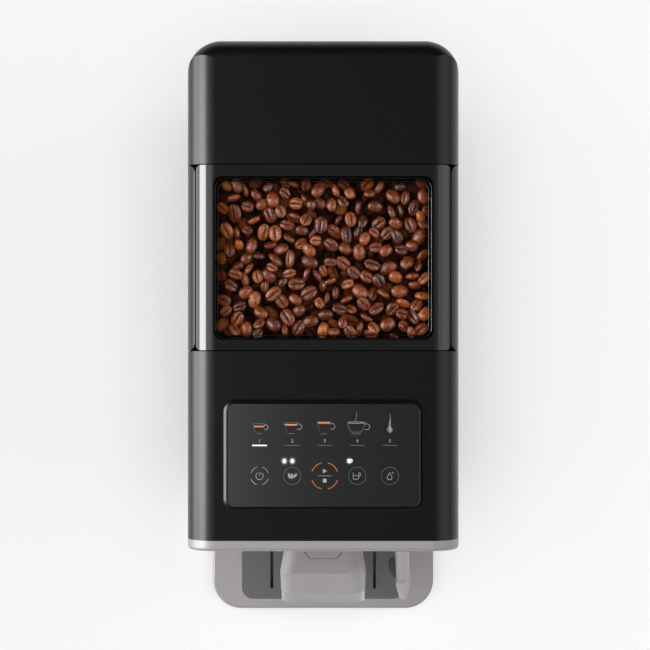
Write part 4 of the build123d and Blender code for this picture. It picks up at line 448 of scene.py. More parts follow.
def draw_bean(rng, sizes):
    """Draws one bean's half sizes in millimetres and its turn: a roll, then a tilt, then a heading.

    It shows its back, its crease or, least often, an edge, and differs a little in size and in slimness.
    """
    smallest, largest, size_spread, slimness = 0.74, 1.24, 0.12, (0.88, 1.08)
    back_share, flat_share = 0.42, 0.86
    flat_roll_spread, edge_roll_spread, tilt_spread = 0.45, 0.25, 0.26
    scale = min(max(rng.normal(1.0, size_spread), smallest), largest)
    half = np.array([sizes.bean_length, sizes.bean_width, sizes.bean_height]) / MM / 2 * scale
    half[0] *= rng.uniform(*slimness)
    kind = rng.random()
    roll = rng.normal(0.0, flat_roll_spread) + (math.pi if kind < back_share else 0.0)
    if kind > flat_share:
        roll = rng.choice([-1, 1]) * rng.normal(math.pi / 2, edge_roll_spread)
    tilt = rng.normal(0.0, tilt_spread)
    heading = rng.uniform(0, 2 * math.pi)
    turn = turn_matrix((0, 0, 1), heading) @ turn_matrix((0, 1, 0), tilt) @ turn_matrix((1, 0, 0), roll)
    return half, turn


def drop_beans(sizes, low_corner, high_corner):
    """Drops beans one by one on the lowest of a few random places.

    A height map holds the top of the heap. A bean comes to rest where its lower skin clears the map in
    most of the cells that it covers. Returns each bean's turn, centre, tone and half sizes, and its shade
    depth for painted shade: how far its top lies below its surroundings, made larger beside the hopper's
    left and back walls.
    """
    cell, tries, clear_share, crown_share, tone_power = 0.5, 14, 0.93, 0.75, 2.2
    rng = np.random.default_rng(sizes.seed)
    low, high = np.asarray(low_corner, float), np.asarray(high_corner, float)
    nx, ny = ((high[:2] - low[:2]) / cell).astype(int)
    ground = np.full((nx, ny), sizes.heap_low / MM)
    top_limit = sizes.heap_high / MM
    gx = low[0] + (np.arange(nx) + 0.5) * cell
    gy = low[1] + (np.arange(ny) + 0.5) * cell
    turns, centres, tones, scales, spots = [], [], [], [], []
    for _ in range(sizes.bean_count):
        half, turn = draw_bean(rng, sizes)
        spread = np.sqrt(((turn * half) ** 2).sum(axis=1))
        places = np.column_stack([rng.uniform(low[0] + spread[0], high[0] - spread[0], tries),
                                  rng.uniform(low[1] + spread[1], high[1] - spread[1], tries)])
        best = None
        inverse = turn.T / half[:, None]
        for px, py in places:
            i0, i1 = int((px - spread[0] - low[0]) / cell), int((px + spread[0] - low[0]) / cell) + 1
            j0, j1 = int((py - spread[1] - low[1]) / cell), int((py + spread[1] - low[1]) / cell) + 1
            sx, sy = np.meshgrid(gx[i0:i1] - px, gy[j0:j1] - py, indexing="ij")
            # An ellipsoid's lower and upper skin over a cell solve a quadratic in height
            a = (inverse[:, 2] ** 2).sum()
            bx = inverse[:, 0, None, None] * sx + inverse[:, 1, None, None] * sy
            b = 2 * (inverse[:, 2, None, None] * bx).sum(axis=0)
            c = (bx ** 2).sum(axis=0) - 1
            root = b ** 2 - 4 * a * c
            inside = root > 0
            if not inside.any():
                continue
            root = np.sqrt(np.where(inside, root, 0))
            under, over = (-b - root) / (2 * a), (-b + root) / (2 * a)
            rest = np.quantile((ground[i0:i1, j0:j1] - under)[inside], clear_share)
            if best is None or rest < best[0]:
                best = (rest, px, py, (slice(i0, i1), slice(j0, j1)), inside, over)
        if best is None or best[0] + spread[2] > top_limit:
            continue
        rest, px, py, window, inside, over = best
        patch = ground[window]
        ground[window] = np.where(inside, np.maximum(patch, rest + over), patch)
        turns.append(turn)
        centres.append((px, py, rest))
        tones.append(rng.beta(tone_power, tone_power))
        scales.append(half)
        spots.append((window, rest + spread[2]))
    shade_depths = np.array([max(0.0, float(np.quantile(ground[window], crown_share)) - top)
                       for window, top in spots])
    centres = np.array(centres)
    # Painted shade: beans beside the hopper's left and back walls count as lying deeper, so that their colour
    # darkens where the walls keep the light from them
    wall_shade_depth, wall_near, wall_reach = 2.6, 3.0, 6.0
    to_wall = np.minimum(centres[:, 0] - low[0], high[1] - centres[:, 1])
    shade_depths += wall_shade_depth * np.clip(1 - (to_wall - wall_near) / wall_reach, 0, 1)
    return np.array(turns), centres, np.array(tones), np.array(scales), shade_depths


class COFFEE_OT_beans(bpy.types.Operator):
    """Fill the hopper with loose coffee beans that stand for the plain heap"""

    bl_idname = "coffee.beans"
    bl_label = "Coffee beans"

    def execute(self, context):
        low, high = box_mm("coffee_beans")
        inset, deep_mm, end_crease = 1.0, 1.3, 0.35
        sizes = context.scene.coffee_beans
        turns, centres, tones, halves, shade_depths = drop_beans(sizes, low + inset, high - inset)
        # Sides stand close together where the groove is
        rings, sides_deg = 6, (0, 30, 58, 78.5, 84.5, 90, 95.5, 101.5, 122, 150, 180, 225, 270, 315)
        unit, groove = bean_shape(rings, sides_deg, 2.0, 2.0, 2.0)
        unit = np.concatenate([unit.reshape(-1, 3), [[-1.0, 0, 0], [1.0, 0, 0]]])
        # The end points take part of the crease field, so the bean's tips get some painted shade too
        groove = np.concatenate([groove.ravel(), [end_crease, end_crease]])
        local = unit[None] * halves[:, None, :]
        points = np.einsum("nij,npj->npi", turns, local) + centres[:, None, :]
        tube, fans = bean_faces(rings, len(sides_deg))
        step = np.arange(len(turns))[:, None, None] * len(unit)
        faces = (tube[None] + step).reshape(-1, 4).tolist() + (fans[None] + step).reshape(-1, 3).tolist()
        # Beans deep in the heap or beside the walls take the shaded copy of the coffee finish, a painted shade
        deep = shade_depths > deep_mm
        finishes = np.concatenate([np.repeat(deep, len(tube)), np.repeat(deep, len(fans))])
        fields = {"tone": np.repeat(tones, len(unit)), "depth": np.repeat(shade_depths, len(unit)),
                  "crease": np.tile(groove, len(turns))}
        piece = make_piece("loose_beans", points, "machine", "roasted_beans", faces,
                           ["Dark roasted coffee", "Coffee in shade"], finishes, fields=fields)
        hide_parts("coffee_beans")
        return {"FINISHED"}


class COFFEE_OT_bean_bed(bpy.types.Operator):
    """Lay the dark, lumpy bed of beans that fills the funnel below the loose ones"""

    bl_idname = "coffee.bean_bed"
    bl_label = "Bed of beans"

    def execute(self, context):
        low, high = box_mm("coffee_beans")
        centre = (low + high) / 2
        wall_gap, floor_gap, throat, above_floor, edge_fall = 2.0, 1.0, 20.0, 1.5, 1.5
        # Lumps are a sine by a cosine, so high and with so many radians in a millimetre
        lump, lump_x, lump_y = 1.3, 0.9, 0.8
        top_share = 1 / 3.2
        # Rings run from the middle of the bed's top out to the hopper's wall, and down the funnel to the
        # throat: superellipses that turn into circles on their way down. A last one closes the bottom
        rows, columns = 34, 96
        down = np.linspace(0, 1, rows)[:, None]
        around = once_round(columns)[None]
        spread = np.clip(down / top_share, 0, 1)
        fall = np.clip((down - top_share) / (1 - top_share), 0, 1)
        power = 6 - 4 * fall
        reach = (np.abs(np.cos(around)) ** power + np.abs(np.sin(around)) ** power) ** (-1 / power)
        half_x, half_y = (high[:2] - low[:2]) / 2 - wall_gap
        x = centre[0] + reach * np.cos(around) * spread * (half_x + (throat - half_x) * fall)
        y = centre[1] + reach * np.sin(around) * spread * (half_y + (throat - half_y) * fall)
        bed_top = context.scene.coffee_beans.heap_low / MM + above_floor
        lumps = lump * np.sin(x * lump_x) * np.cos(y * lump_y) * (1 - fall) * np.clip(spread * 2, 0, 1)
        z = bed_top + lumps - fall * (bed_top - low[2] - floor_gap) - spread * edge_fall
        points = np.stack([x, y, z], axis=-1)
        floor = np.repeat(points[-1].mean(axis=0)[None], columns, axis=0)
        points = np.concatenate([points, floor[None]])
        piece = make_piece("bean_bed", points, "machine", "roasted_beans",
                           grid_quads(rows + 1, columns, close_columns=True)[:, ::-1], ["Shadowed coffee"])
        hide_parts("coffee_beans")
        return {"FINISHED"}


# Touch panel print

GREY, DIM, LAMP, ORANGE, PALE, CREMA, COFFEE = range(7)
PRINTS = ["Grey panel print", "Dim panel print", "White panel lamp", "Orange panel print",
          "Pale crema panel print", "Crema panel print", "Coffee panel print"]
# Ink and glow lie just clear of the glass
INK_LIFT_MM, GLOW_LIFT_MM = 0.02, 0.008
# The cups of the first four columns: their rim's place from the column and the cup row, half-width, depth,
# where the coffee starts below the rim (None for hot water), and the handle's radius
CUPS = ((-0.4, 0.6, 3.4, 5.0, 1.2, 1.5), (-0.9, 1.2, 4.0, 5.6, 0.7, 1.8),
        (-0.6, 1.9, 4.0, 6.6, 0.2, 1.9), (-0.7, 1.5, 5.5, 6.2, None, 1.9))


def ribbon(path, width, closed=False):
    """A flat stroke along a path: at each point, one point to the left and one to the right of its way."""
    path = np.asarray(path, float)
    if closed:
        ahead, behind = np.roll(path, -1, axis=0), np.roll(path, 1, axis=0)
    else:
        ahead, behind = np.vstack([path[1:], path[-1]]), np.vstack([path[0], path[:-1]])
    along = ahead - behind
    along /= np.linalg.norm(along, axis=1, keepdims=True)
    side = np.column_stack([-along[:, 1], along[:, 0]]) * width / 2
    points = np.stack([path + side, path - side], axis=1)
    return points.reshape(-1, 2), grid_quads(len(path), 2, close_rows=closed)[:, ::-1]


def arc(centre, radius, start_deg, end_deg, count=24, squash=1.0):
    """Points on a circle's arc, in degrees from +X towards +Y; squash flattens it along Y."""
    angle = np.radians(np.linspace(start_deg, end_deg, count))
    return np.column_stack([centre[0] + radius * np.cos(angle), centre[1] + radius * squash * np.sin(angle)])


def between(left, right):
    """A flat area ruled between two lines with as many points each."""
    points = np.stack([np.asarray(left, float), np.asarray(right, float)], axis=1)
    return points.reshape(-1, 2), grid_quads(len(left), 2)[:, ::-1]


class PanelPrint:
    """Collects flat shapes in the panel's plane, in millimetres, each moved to a symbol's centre."""

    def __init__(self, z, stroke):
        self.pile, self.z, self.stroke = Pile(), z, stroke

    def shape(self, flat, centre, material):
        """Adds a flat shape, with the quads that face down by their area's sign turned over."""
        points, quads = flat
        points = points + np.asarray(centre)
        lifted = np.column_stack([points, np.full(len(points), self.z)])
        ring = points[quads]
        area = ((ring[:, 2, 0] - ring[:, 0, 0]) * (ring[:, 3, 1] - ring[:, 1, 1])
                - (ring[:, 3, 0] - ring[:, 1, 0]) * (ring[:, 2, 1] - ring[:, 0, 1]))
        quads = np.where(area[:, None] < 0, quads[:, ::-1], quads)
        self.pile.add(lifted, quads, material)

    def line(self, path, centre, material, strokes=1.0, closed=False):
        """Adds a line along a path, a number of strokes wide."""
        self.shape(ribbon(path, self.stroke * strokes, closed), centre, material)

    def disc(self, centre, radius, material, squash, waist, turn_deg=0.0, count=20):
        """A filled ellipse, ruled between its left and right halves, with a gap along its middle."""
        angle = np.radians(np.linspace(90, -90, count))
        height, half = radius * np.sin(angle), radius * squash * np.cos(angle)
        c, s = math.cos(math.radians(turn_deg)), math.sin(math.radians(turn_deg))
        turn = np.array([[c, -s], [s, c]])
        gap = np.minimum(waist, half)
        for inner, outer in ((-half, -gap), (gap, half)):
            left = np.column_stack([inner, height]) @ turn.T
            right = np.column_stack([outer, height]) @ turn.T
            self.shape(between(left, right), centre, material)


def draw_cup(panel, centre, half, depth, fill, handle_radius):
    """A glass cup from the side, with its rim at nought and coffee from fill downwards.

    Its half-width shrinks by 0.42 times the 2.2th power of the share of its depth. The coffee is a pale line,
    a band of crema and a dark rest; a cup without fill holds hot water, and shows its rim as an ellipse.
    """
    share = np.linspace(0, 1, 12)

    def side(from_depth, to_depth, scale):
        down = from_depth + share * (to_depth - from_depth)
        return np.column_stack([half * scale * (1 - 0.42 * np.clip(down / depth, 0, 1) ** 2.2), -down])

    if fill is None:
        wall = side(0, depth, 1.0)
        panel.line(np.concatenate([wall * [-1, 1], wall[::-1]]), centre, DIM)
        panel.line(arc((0, 0), half, 0, 360, 40, 0.09)[:-1], centre, GREY, closed=True)
    else:
        crema, coffee = fill + 0.3, fill + 1.05
        for top, low, scale, material in ((fill, crema, 0.96, PALE), (crema, coffee, 0.94, CREMA),
                                          (coffee, depth, 0.9, COFFEE)):
            panel.shape(between(side(top, low, scale) * [-1, 1], side(top, low, scale)), centre, material)
        for sign, material in ((-1, DIM), (1, GREY)):
            panel.line(side(-0.3, fill + 0.6, 1.04) * [sign, 1], centre, material, 0.8)
        panel.line([[-half * 1.04, 0.3], [half * 1.04, 0.3]], centre, DIM, 0.7)
        panel.line(side(fill + 0.8, depth, 1.0) * [-1, 1], centre, DIM, 0.5)
    grip = (half + handle_radius * 0.72, -depth / 2 + 0.4)
    panel.line(arc(grip, handle_radius, -128, 128), centre, GREY, 0.9)
    panel.line([[-half * 0.55, -depth - 1.2], [half * 0.55, -depth - 1.2]], centre, DIM)


class COFFEE_OT_panel_print(bpy.types.Operator):
    """Print the symbols on the touch glass: five drinks, their numerals and lamps, and five round buttons"""

    bl_idname = "coffee.panel_print"
    bl_label = "Panel print"

    def execute(self, context):
        sizes = context.scene.coffee_panel
        glass_top = box_mm("touch_glass")[1][2]
        panel = PanelPrint(glass_top + INK_LIFT_MM, sizes.stroke / MM)
        columns = [sizes.first_column / MM + i * sizes.column_pitch / MM for i in range(5)]
        cup_y, lamp_y = sizes.cup_row / MM, sizes.lamp_row / MM
        for x, (dx, dy, *cup) in zip(columns, CUPS):
            draw_cup(panel, (x + dx, cup_y + dy), *cup)
        # A wavy stream falls into the hot water
        stream = np.column_stack([np.linspace(0.5, 0.0, 8) + 0.25 * np.sin(np.linspace(0, 5, 8)),
                                  np.linspace(7.4, 1.4, 8)])
        panel.line(stream, (columns[3] - 1.0, cup_y + 1.0), DIM, 1.4)
        self.steam(panel, (columns[4], cup_y))
        # The first drink is picked: its underline is thick and lit
        half_bar = 4.8
        for i, x in enumerate(columns):
            width, material = (0.85, LAMP) if i == 0 else (0.34, DIM)
            bar = ribbon([[-half_bar, 0], [half_bar, 0]], width)
            panel.shape(bar, (x, sizes.underline_row / MM), material)
        lamps = [(columns[1] - 5.1, lamp_y), (columns[1] + 0.1, lamp_y), (columns[3] - 5.2, lamp_y)]
        for centre in lamps[:2]:
            panel.disc(centre, 1.45, LAMP, squash=0.7, waist=0.17)
        self.small_cup(panel, lamps[2])
        self.buttons(panel, columns, sizes.button_row / MM)
        points, quads, indices = panel.pile.arrays()
        piece = make_piece("panel_print", points, "machine", "tinted_glass", quads, PRINTS, indices,
                           smooth=False)
        wall = piece.modifiers.new("Ink", "SOLIDIFY")
        wall.thickness = sizes.print_thickness
        wall.offset = 1.0
        self.numerals(context, sizes, columns, glass_top)
        self.glows(lamps, glass_top)
        return {"FINISHED"}

    def steam(self, panel, centre):
        """A plume of steam: a thin wisp that swells to a bulb, its half-width a sum of two bell curves."""
        top, length = 7.2, 12.6
        v = np.linspace(0, 1, 26)
        y = top - v * length
        half = 0.16 + 1.75 * np.exp(-((v - 0.82) / 0.14) ** 2) + 0.5 * np.exp(-((v - 0.5) / 0.2) ** 2)
        half = half * np.clip((1 - v) / 0.05, 0, 1) ** 0.5
        sway = 0.35 * np.sin(v * 7.0) * (1 - v)
        for low, high, material in ((-1.0, -0.18, DIM), (-0.12, 0.42, GREY), (0.48, 1.0, DIM)):
            left = np.column_stack([sway + half * low, y])
            right = np.column_stack([sway + half * high, y])
            panel.shape(between(left, right), centre, material)

    def small_cup(self, panel, centre):
        """A small lit cup: an area that tapers with the square of its depth, and a short handle."""
        v = np.linspace(0, 1, 8)
        half = 1.25 - 0.45 * v ** 2
        y = 1.2 - 2.4 * v
        panel.shape(between(np.column_stack([-half, y]), np.column_stack([half, y])), centre, LAMP)
        panel.shape(ribbon(arc((1.25, 0.3), 0.7, -90, 90, 12), 0.34), centre, LAMP)

    def buttons(self, panel, columns, y):
        """Five round buttons: power, strength, start and stop, cup size, and rinse.

        The first and the middle one have rings of four arcs, and the others have dashed ones.
        """
        power, strength, start_stop, cup_size, rinse = ((x, y) for x in columns)
        for start in (18, 108, 198, 288):
            panel.line(arc((0, 0), 5.95, start, start + 54, 18), power, GREY)
        for start in (18, 104, 198, 284):
            panel.line(arc((0, 0), 8.75, start, start + 58), start_stop, ORANGE, 1.35)
        dashes, dash_deg = 26, 10.4
        for centre in (strength, cup_size, rinse):
            for start in np.arange(dashes) * 360 / dashes:
                panel.line(arc((0, 0), 5.65, start, start + dash_deg, 4), centre, DIM, 0.95)
        # Power: an open ring and a bar
        panel.line(arc((0, -0.1), 2.35, 118, 422, 36), power, GREY)
        panel.line([[0, 0.3], [0, 2.5]], power, GREY)
        # Strength: three beans
        for x, dy, turn in ((-1.9, 0.1, 14), (-0.2, -0.2, -6), (1.9, 0.1, -42)):
            panel.disc((columns[1] + x, y + dy), 1.9, GREY, squash=0.4, waist=0.12, turn_deg=turn)
        # Start and stop: a triangle, whose point is a very short edge, over a bar and a square
        panel.line([[-4.5, 0], [4.5, 0]], start_stop, GREY, 0.8)
        panel.shape(between([[-1.1, 4.6], [-1.1, 1.8]], [[1.5, 3.2001], [1.5, 3.1999]]), start_stop, GREY)
        panel.shape(between([[-1.2, -1.9], [-1.2, -4.3]], [[1.2, -1.9], [1.2, -4.3]]), start_stop, GREY)
        # Cup size: a cup with its handle and a level line
        cup = [[-2.2, 2.0], [-2.2, -1.3], [-1.9, -1.9], [-1.3, -2.2], [0.5, -2.2], [1.1, -1.9], [1.4, -1.3],
               [1.4, 2.0]]
        for path, strokes in ((cup, 1.0), (arc((1.5, 0.9), 1.2, -90, 90, 14), 1.0),
                              ([[-2.2, 0.1], [1.4, 0.1]], 0.8)):
            panel.line(path, (columns[3] - 0.5, y), GREY, strokes)
        # Rinse: a drop, whose half-width follows the sine times one minus the cosine, and a plus
        angle = once_round(40)
        drop = np.column_stack([1.75 * np.sin(angle) * (1 + np.cos(angle + math.pi)) / 1.45,
                                2.35 * np.cos(angle)])
        panel.line(drop, (columns[4] - 0.2, y - 0.1), GREY, closed=True)
        for pair in (([-0.7, 0], [0.7, 0]), ([0, -0.7], [0, 0.7])):
            panel.line(pair, (columns[4] + 1.9, y + 2.0), GREY, 0.8)

    def numerals(self, context, sizes, columns, glass_top):
        """Plain numerals one to five below the drinks, thin enough to read as print."""
        size_mm = 3.0
        for i, x in enumerate(columns):
            curve = bpy.data.curves.new("numeral", "FONT")
            curve.body = str(i + 1)
            curve.size = size_mm * MM
            curve.align_x, curve.align_y = "CENTER", "CENTER"
            curve.extrude = sizes.print_thickness / 2
            curve.resolution_u = 4
            holder = add_object("numeral", curve)
            context.view_layer.update()
            mesh = bpy.data.meshes.new_from_object(holder.evaluated_get(context.evaluated_depsgraph_get()))
            bpy.data.objects.remove(holder)
            bpy.data.curves.remove(curve)
            points = np.zeros(len(mesh.vertices) * 3)
            mesh.vertices.foreach_get("co", points)
            place = (x * MM, sizes.numeral_row, (glass_top + INK_LIFT_MM) * MM + sizes.print_thickness / 2)
            mesh.vertices.foreach_set("co", (points.reshape(-1, 3) + place).ravel())
            mesh.materials.clear()
            mesh.materials.append(bpy.data.materials["Grey panel print"])
            place_piece(f"panel_numeral_{i + 1}", mesh, "machine")

    def glows(self, lamps, glass_top):
        """A faint halo round each lit lamp: discs whose fade field falls from one at the middle to nought."""
        pile, fades = Pile(), []
        rings, sides = 10, 32
        r, a = np.meshgrid(np.linspace(0, 1, rings), once_round(sides), indexing="ij")
        for (x, y), (half_x, half_y) in zip(lamps, ((2.9, 3.1), (2.9, 3.1), (3.0, 2.9))):
            points = np.stack([x + half_x * r * np.cos(a), y + half_y * r * np.sin(a),
                               np.full_like(r, glass_top + GLOW_LIFT_MM)], axis=-1)
            pile.add(points, grid_quads(rings, sides, close_columns=True)[:, ::-1])
            fades.append((1 - r).ravel())
        points, quads, _ = pile.arrays()
        make_piece("panel_glow", points, "machine", "tinted_glass", quads, ["Panel lamp glow"],
                   fields={"fade": np.concatenate(fades)})


# Small mouldings


def rounded_loop(low, high, radius):
    """A rectangle's outline with rounded corners, from above: its points and the outward direction at each.

    Each corner is a quarter circle, and points stand evenly along the straights between the corners.
    """
    per_corner, per_side = 14, 6
    right, left, back, front = high[0] - radius, low[0] + radius, high[1] - radius, low[1] + radius
    arcs, ways = [], []
    for i, centre in enumerate(((right, back), (left, back), (left, front), (right, front))):
        angle = np.radians(90 * i + np.linspace(0, 90, per_corner))
        out = np.column_stack([np.cos(angle), np.sin(angle)])
        arcs.append(np.array(centre) + radius * out)
        ways.append(out)
    share = np.linspace(0, 1, per_side + 2)[1:-1, None]
    loop, outward = [], []
    for i in range(4):
        straight = arcs[(i + 1) % 4][0] - arcs[i][-1]
        loop += [arcs[i], arcs[i][-1] + straight * share]
        outward += [ways[i], np.repeat(ways[i][-1:], per_side, axis=0)]
    return np.concatenate(loop), np.concatenate(outward)


def carry_round(loop, outward, profile):
    """Carries a closed profile, given as steps inward and heights, round a loop: its points and quads."""
    profile = np.asarray(profile, float)
    flat = loop[None] - outward[None] * profile[:, 0, None, None]
    height = np.repeat(profile[:, 1, None, None], len(loop), axis=1)
    return np.concatenate([flat, height], axis=-1), grid_quads(len(profile), len(loop), True, True)


class COFFEE_OT_bezel(bpy.types.Operator):
    """Raise the panel's frame: a rim with a sloped crown that turns down to the glass"""

    bl_idname = "coffee.bezel"
    bl_label = "Panel frame"

    def execute(self, context):
        low, high = box_mm("control_bezel")
        corner_radius = 8.0
        loop, outward = rounded_loop(low, high, corner_radius)
        # Steps inward from the frame's edge, and down from its top
        profile = ((0.0, 3.2), (0.0, 1.5), (0.1, 1.2), (0.3, 0.98), (0.8, 0.72), (1.4, 0.4), (1.9, 0.1),
                   (2.05, 0.0), (2.25, 0.14), (2.35, 0.5), (2.35, 1.6), (2.35, 3.2))
        points, quads = carry_round(loop, outward, [(inward, high[2] - drop) for inward, drop in profile])
        piece = make_piece("panel_frame", points, "machine", "matte_black", quads)
        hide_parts("control_bezel")
        return {"FINISHED"}


class COFFEE_OT_window_beads(bpy.types.Operator):
    """Run two fine moulded beads round the inside of the lid, just under its window"""

    bl_idname = "coffee.window_beads"
    bl_label = "Lid beads"

    def execute(self, context):
        low, high = box_mm("lid_window")
        pile = Pile()
        angle = once_round(10)
        for inset, corner_radius, bead_radius, drop in ((4.0, 7.0, 0.42, 0.6), (6.0, 6.0, 0.3, 0.9)):
            loop, outward = rounded_loop(low + inset, high - inset, corner_radius)
            ring = np.column_stack([bead_radius * np.cos(angle), low[2] - drop - bead_radius * np.sin(angle)])
            pile.add(*carry_round(loop, outward, ring))
        points, quads, _ = pile.arrays()
        make_piece("window_beads", points, "hopper_lid", "gloss_black", quads)
        return {"FINISHED"}


# The steam wand's fittings, and the drive spindle

# Where the wand's pipe bends below its socket, and how it runs on: down, forwards and a little to the right
WAND_BEND = np.array([56.0, -131.0, 228.0])
WAND_RUN = np.array([5.4, -48.5, -93.3])


class COFFEE_OT_wand_socket(bpy.types.Operator):
    """Shape the block that the steam wand turns in, with its bore, tucked behind the fascia's edge"""

    bl_idname = "coffee.wand_socket"
    bl_label = "Wand socket"

    def execute(self, context):
        low, high = box_mm("wand_socket")
        bore, side_inset, front, corner_radius = 5.6, 1.5, -137.0, 3.5
        loop, _ = rounded_loop((low[0] + side_inset, front), (high[0] - side_inset, high[1]), corner_radius)
        away = loop - WAND_BEND[:2]
        hole = WAND_BEND[:2] + bore * away / np.linalg.norm(away, axis=1, keepdims=True)
        # Up the outside, across the top and down through the bore
        rows = [np.column_stack([line, np.full(len(line), z)])
                for line, z in ((loop, low[2]), (loop, high[2]), (hole, high[2]), (hole, low[2]))]
        piece = make_piece("wand_bush", np.stack(rows), "machine", "matte_black",
                           grid_quads(len(rows), len(loop), True, True), smooth=False)
        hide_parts("wand_socket")
        return {"FINISHED"}


def wand_axes():
    """The direction in which the steam wand runs on from its bend, and two directions across it."""
    along = WAND_RUN / np.linalg.norm(WAND_RUN)
    side = np.array([-1.0, 0.0, 0.0])
    side -= along * (side @ along)
    side /= np.linalg.norm(side)
    return along, side, np.cross(along, side)


def capped(rings):
    """Closes a stack of rings at both ends with a point in the middle of the first and of the last."""
    first, last = (np.repeat(ring.mean(axis=0)[None], len(ring), axis=0) for ring in (rings[0], rings[-1]))
    return np.concatenate([first[None], rings, last[None]])


class COFFEE_OT_wand(bpy.types.Operator):
    """Bend the steam wand and fit its faceted nozzle"""

    bl_idname = "coffee.wand"
    bl_label = "Steam wand"

    def execute(self, context):
        along, side, across = wand_axes()
        pipe_radius, pipe_length, elbow, past_elbow, rise, half_rise = 5.3, 82.0, 4.0, 6.0, 20.0, 12.0
        up = np.array([0.0, 0.0, 1.0])
        # Down from the socket, round the bend on a quadratic curve between its two tangents, and straight on
        t = np.linspace(0, 1, 9)[:, None]
        start, end = WAND_BEND + up * elbow, WAND_BEND + along * elbow
        curve = (1 - t) ** 2 * start + 2 * t * (1 - t) * WAND_BEND + t ** 2 * end
        onward = np.linspace(elbow + past_elbow, pipe_length, 8)[:, None]
        spine = np.concatenate([[WAND_BEND + up * rise, WAND_BEND + up * half_rise], curve,
                                WAND_BEND + along * onward])
        ahead = np.gradient(spine, axis=0)
        ahead /= np.linalg.norm(ahead, axis=1, keepdims=True)
        level = np.cross(up, along)
        level /= np.linalg.norm(level)
        square = np.cross(ahead, level)
        around = once_round(28)[None, :, None]
        rings = capped(spine[:, None]
                       + pipe_radius * (np.cos(around) * level + np.sin(around) * square[:, None]))
        piece = make_piece("wand_pipe", rings, "steam_wand", "silver_paint")
        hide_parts("steam_wand")
        # The nozzle: a six-sided cone whose facets twist a little on their way to the tip, given as
        # distances from the bend and radii
        facets, twist_deg = 6, (12, 50)
        profile = np.array([(76.0, 5.1), (78.0, 5.8), (83.0, 6.3), (90.0, 6.3), (106.0, 5.1), (122.0, 3.7),
                            (128.0, 3.1), (129.5, 2.3)])
        twist = np.radians(np.linspace(*twist_deg, len(profile)))[:, None]
        angle = (np.arange(facets) * 2 * math.pi / facets)[None] + twist
        rings = capped((WAND_BEND + along * profile[:, :1])[:, None] + profile[:, 1, None, None]
                       * (np.cos(angle)[..., None] * side + np.sin(angle)[..., None] * across))
        piece = make_piece("wand_nozzle", rings, "steam_wand", "silver_paint", smooth=False)
        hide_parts("steam_nozzle")
        return {"FINISHED"}


class COFFEE_OT_wand_leaf(bpy.types.Operator):
    """Shape the black leaf on the steam wand that fingers turn it by"""

    bl_idname = "coffee.wand_leaf"
    bl_label = "Wand leaf"

    def execute(self, context):
        along, side, across = wand_axes()
        start, end, inner, outer, thick = 38.0, 88.0, 4.2, 10.4, 3.6
        # It swells as a power of a half sine that peaks in its upper half; each section is an ellipse
        share = (1 - np.cos(np.linspace(0, math.pi, 26))) / 2
        swell = np.sin(share ** 0.65 * math.pi) ** 0.6
        around = once_round(20)
        half = (outer - inner) / 2 * swell
        place = WAND_BEND + along * (start + (end - start) * share)[:, None] + side * (inner + half)[:, None]
        points = (place[:, None] + side * (half[:, None] * np.cos(around))[..., None]
                  + across * (thick / 2 * swell[:, None] * np.sin(around))[..., None])
        piece = make_piece("wand_leaf", points, "steam_wand", "soft_rubber")
        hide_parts("wand_grip")
        return {"FINISHED"}


class COFFEE_OT_spindle(bpy.types.Operator):
    """Cut the thread on the brew unit's drive spindle"""

    bl_idname = "coffee.spindle"
    bl_label = "Drive spindle"

    def execute(self, context):
        low, high = box_mm("drive_spindle")
        centre, radius = (low + high) / 2, (high[0] - low[0]) / 2
        lead, depth, columns, row_step, plain_end, fade_in = 5.0, 0.75, 24, 0.42, 3.0, 1.5
        crest_share, flank_share = 0.32, 0.3
        z = np.linspace(low[2], high[2], int((high[2] - low[2]) / row_step))
        z, turn = np.meshgrid(z, once_round(columns), indexing="ij")
        # A trapezoid wave that climbs one lead in each turn, faded out over the plain ends
        wave = np.abs(((z / lead - turn / (2 * math.pi)) % 1) * 2 - 1)
        cut = depth * np.clip((wave - crest_share) / flank_share, 0, 1)
        ends = np.clip((np.minimum(z - low[2], high[2] - z) - plain_end) / fade_in, 0, 1)
        reach = radius - cut * ends
        rings = np.stack([centre[0] + reach * np.cos(turn), centre[1] + reach * np.sin(turn), z], axis=-1)
        piece = make_piece("threaded_spindle", capped(rings), "drive_spindle", "bright_steel")
        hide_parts("drive_spindle")
        return {"FINISHED"}


# Finishes on the CAD nodes


class COFFEE_OT_finishes(bpy.types.Operator):
    """Give every CAD node the finish of its material slot"""

    bl_idname = "coffee.finishes"
    bl_label = "Finishes"

    def execute(self, context):
        make_materials()
        slots = {item["node"]: item["material_slot"] for item in frame["record"]["subparts"]}
        for name, item in frame["nodes"].items():
            item.data.materials.clear()
            item.data.materials.append(bpy.data.materials[SLOT_MATERIALS[slots[name]]])
        return {"FINISHED"}


# Studio


def area_light(name, place, target, size_x, size_y, radiance, glossy_only=False):
    """A rectangular lamp that faces a target, with its power worked out from radiance times area times pi."""
    data = bpy.data.lights.new(name, "AREA")
    data.shape = "RECTANGLE"
    data.size, data.size_y = size_x, size_y
    data.energy = radiance * size_x * size_y * math.pi
    lamp = add_object(name, data)
    lamp.location = place
    lamp.rotation_euler = (Vector(target) - Vector(place)).to_track_quat("-Z", "Y").to_euler()
    lamp.visible_camera = False
    lamp.visible_diffuse = not glossy_only
    return lamp


def side_sheet(name, side, elevations_deg, distance, width, radiance, glossy_only=False):
    """An upright lamp on the left (-1) or right (1), spanning elevations as seen from the lid's edge there."""
    edge_x, edge_y, edge_z = side * 0.08, 0.06, 0.334
    low, high = (distance * math.tan(math.radians(e)) for e in elevations_deg)
    z = edge_z + (low + high) / 2
    return area_light(name, (edge_x + side * distance, edge_y, z), (edge_x, edge_y, z), width, high - low,
                      radiance, glossy_only)


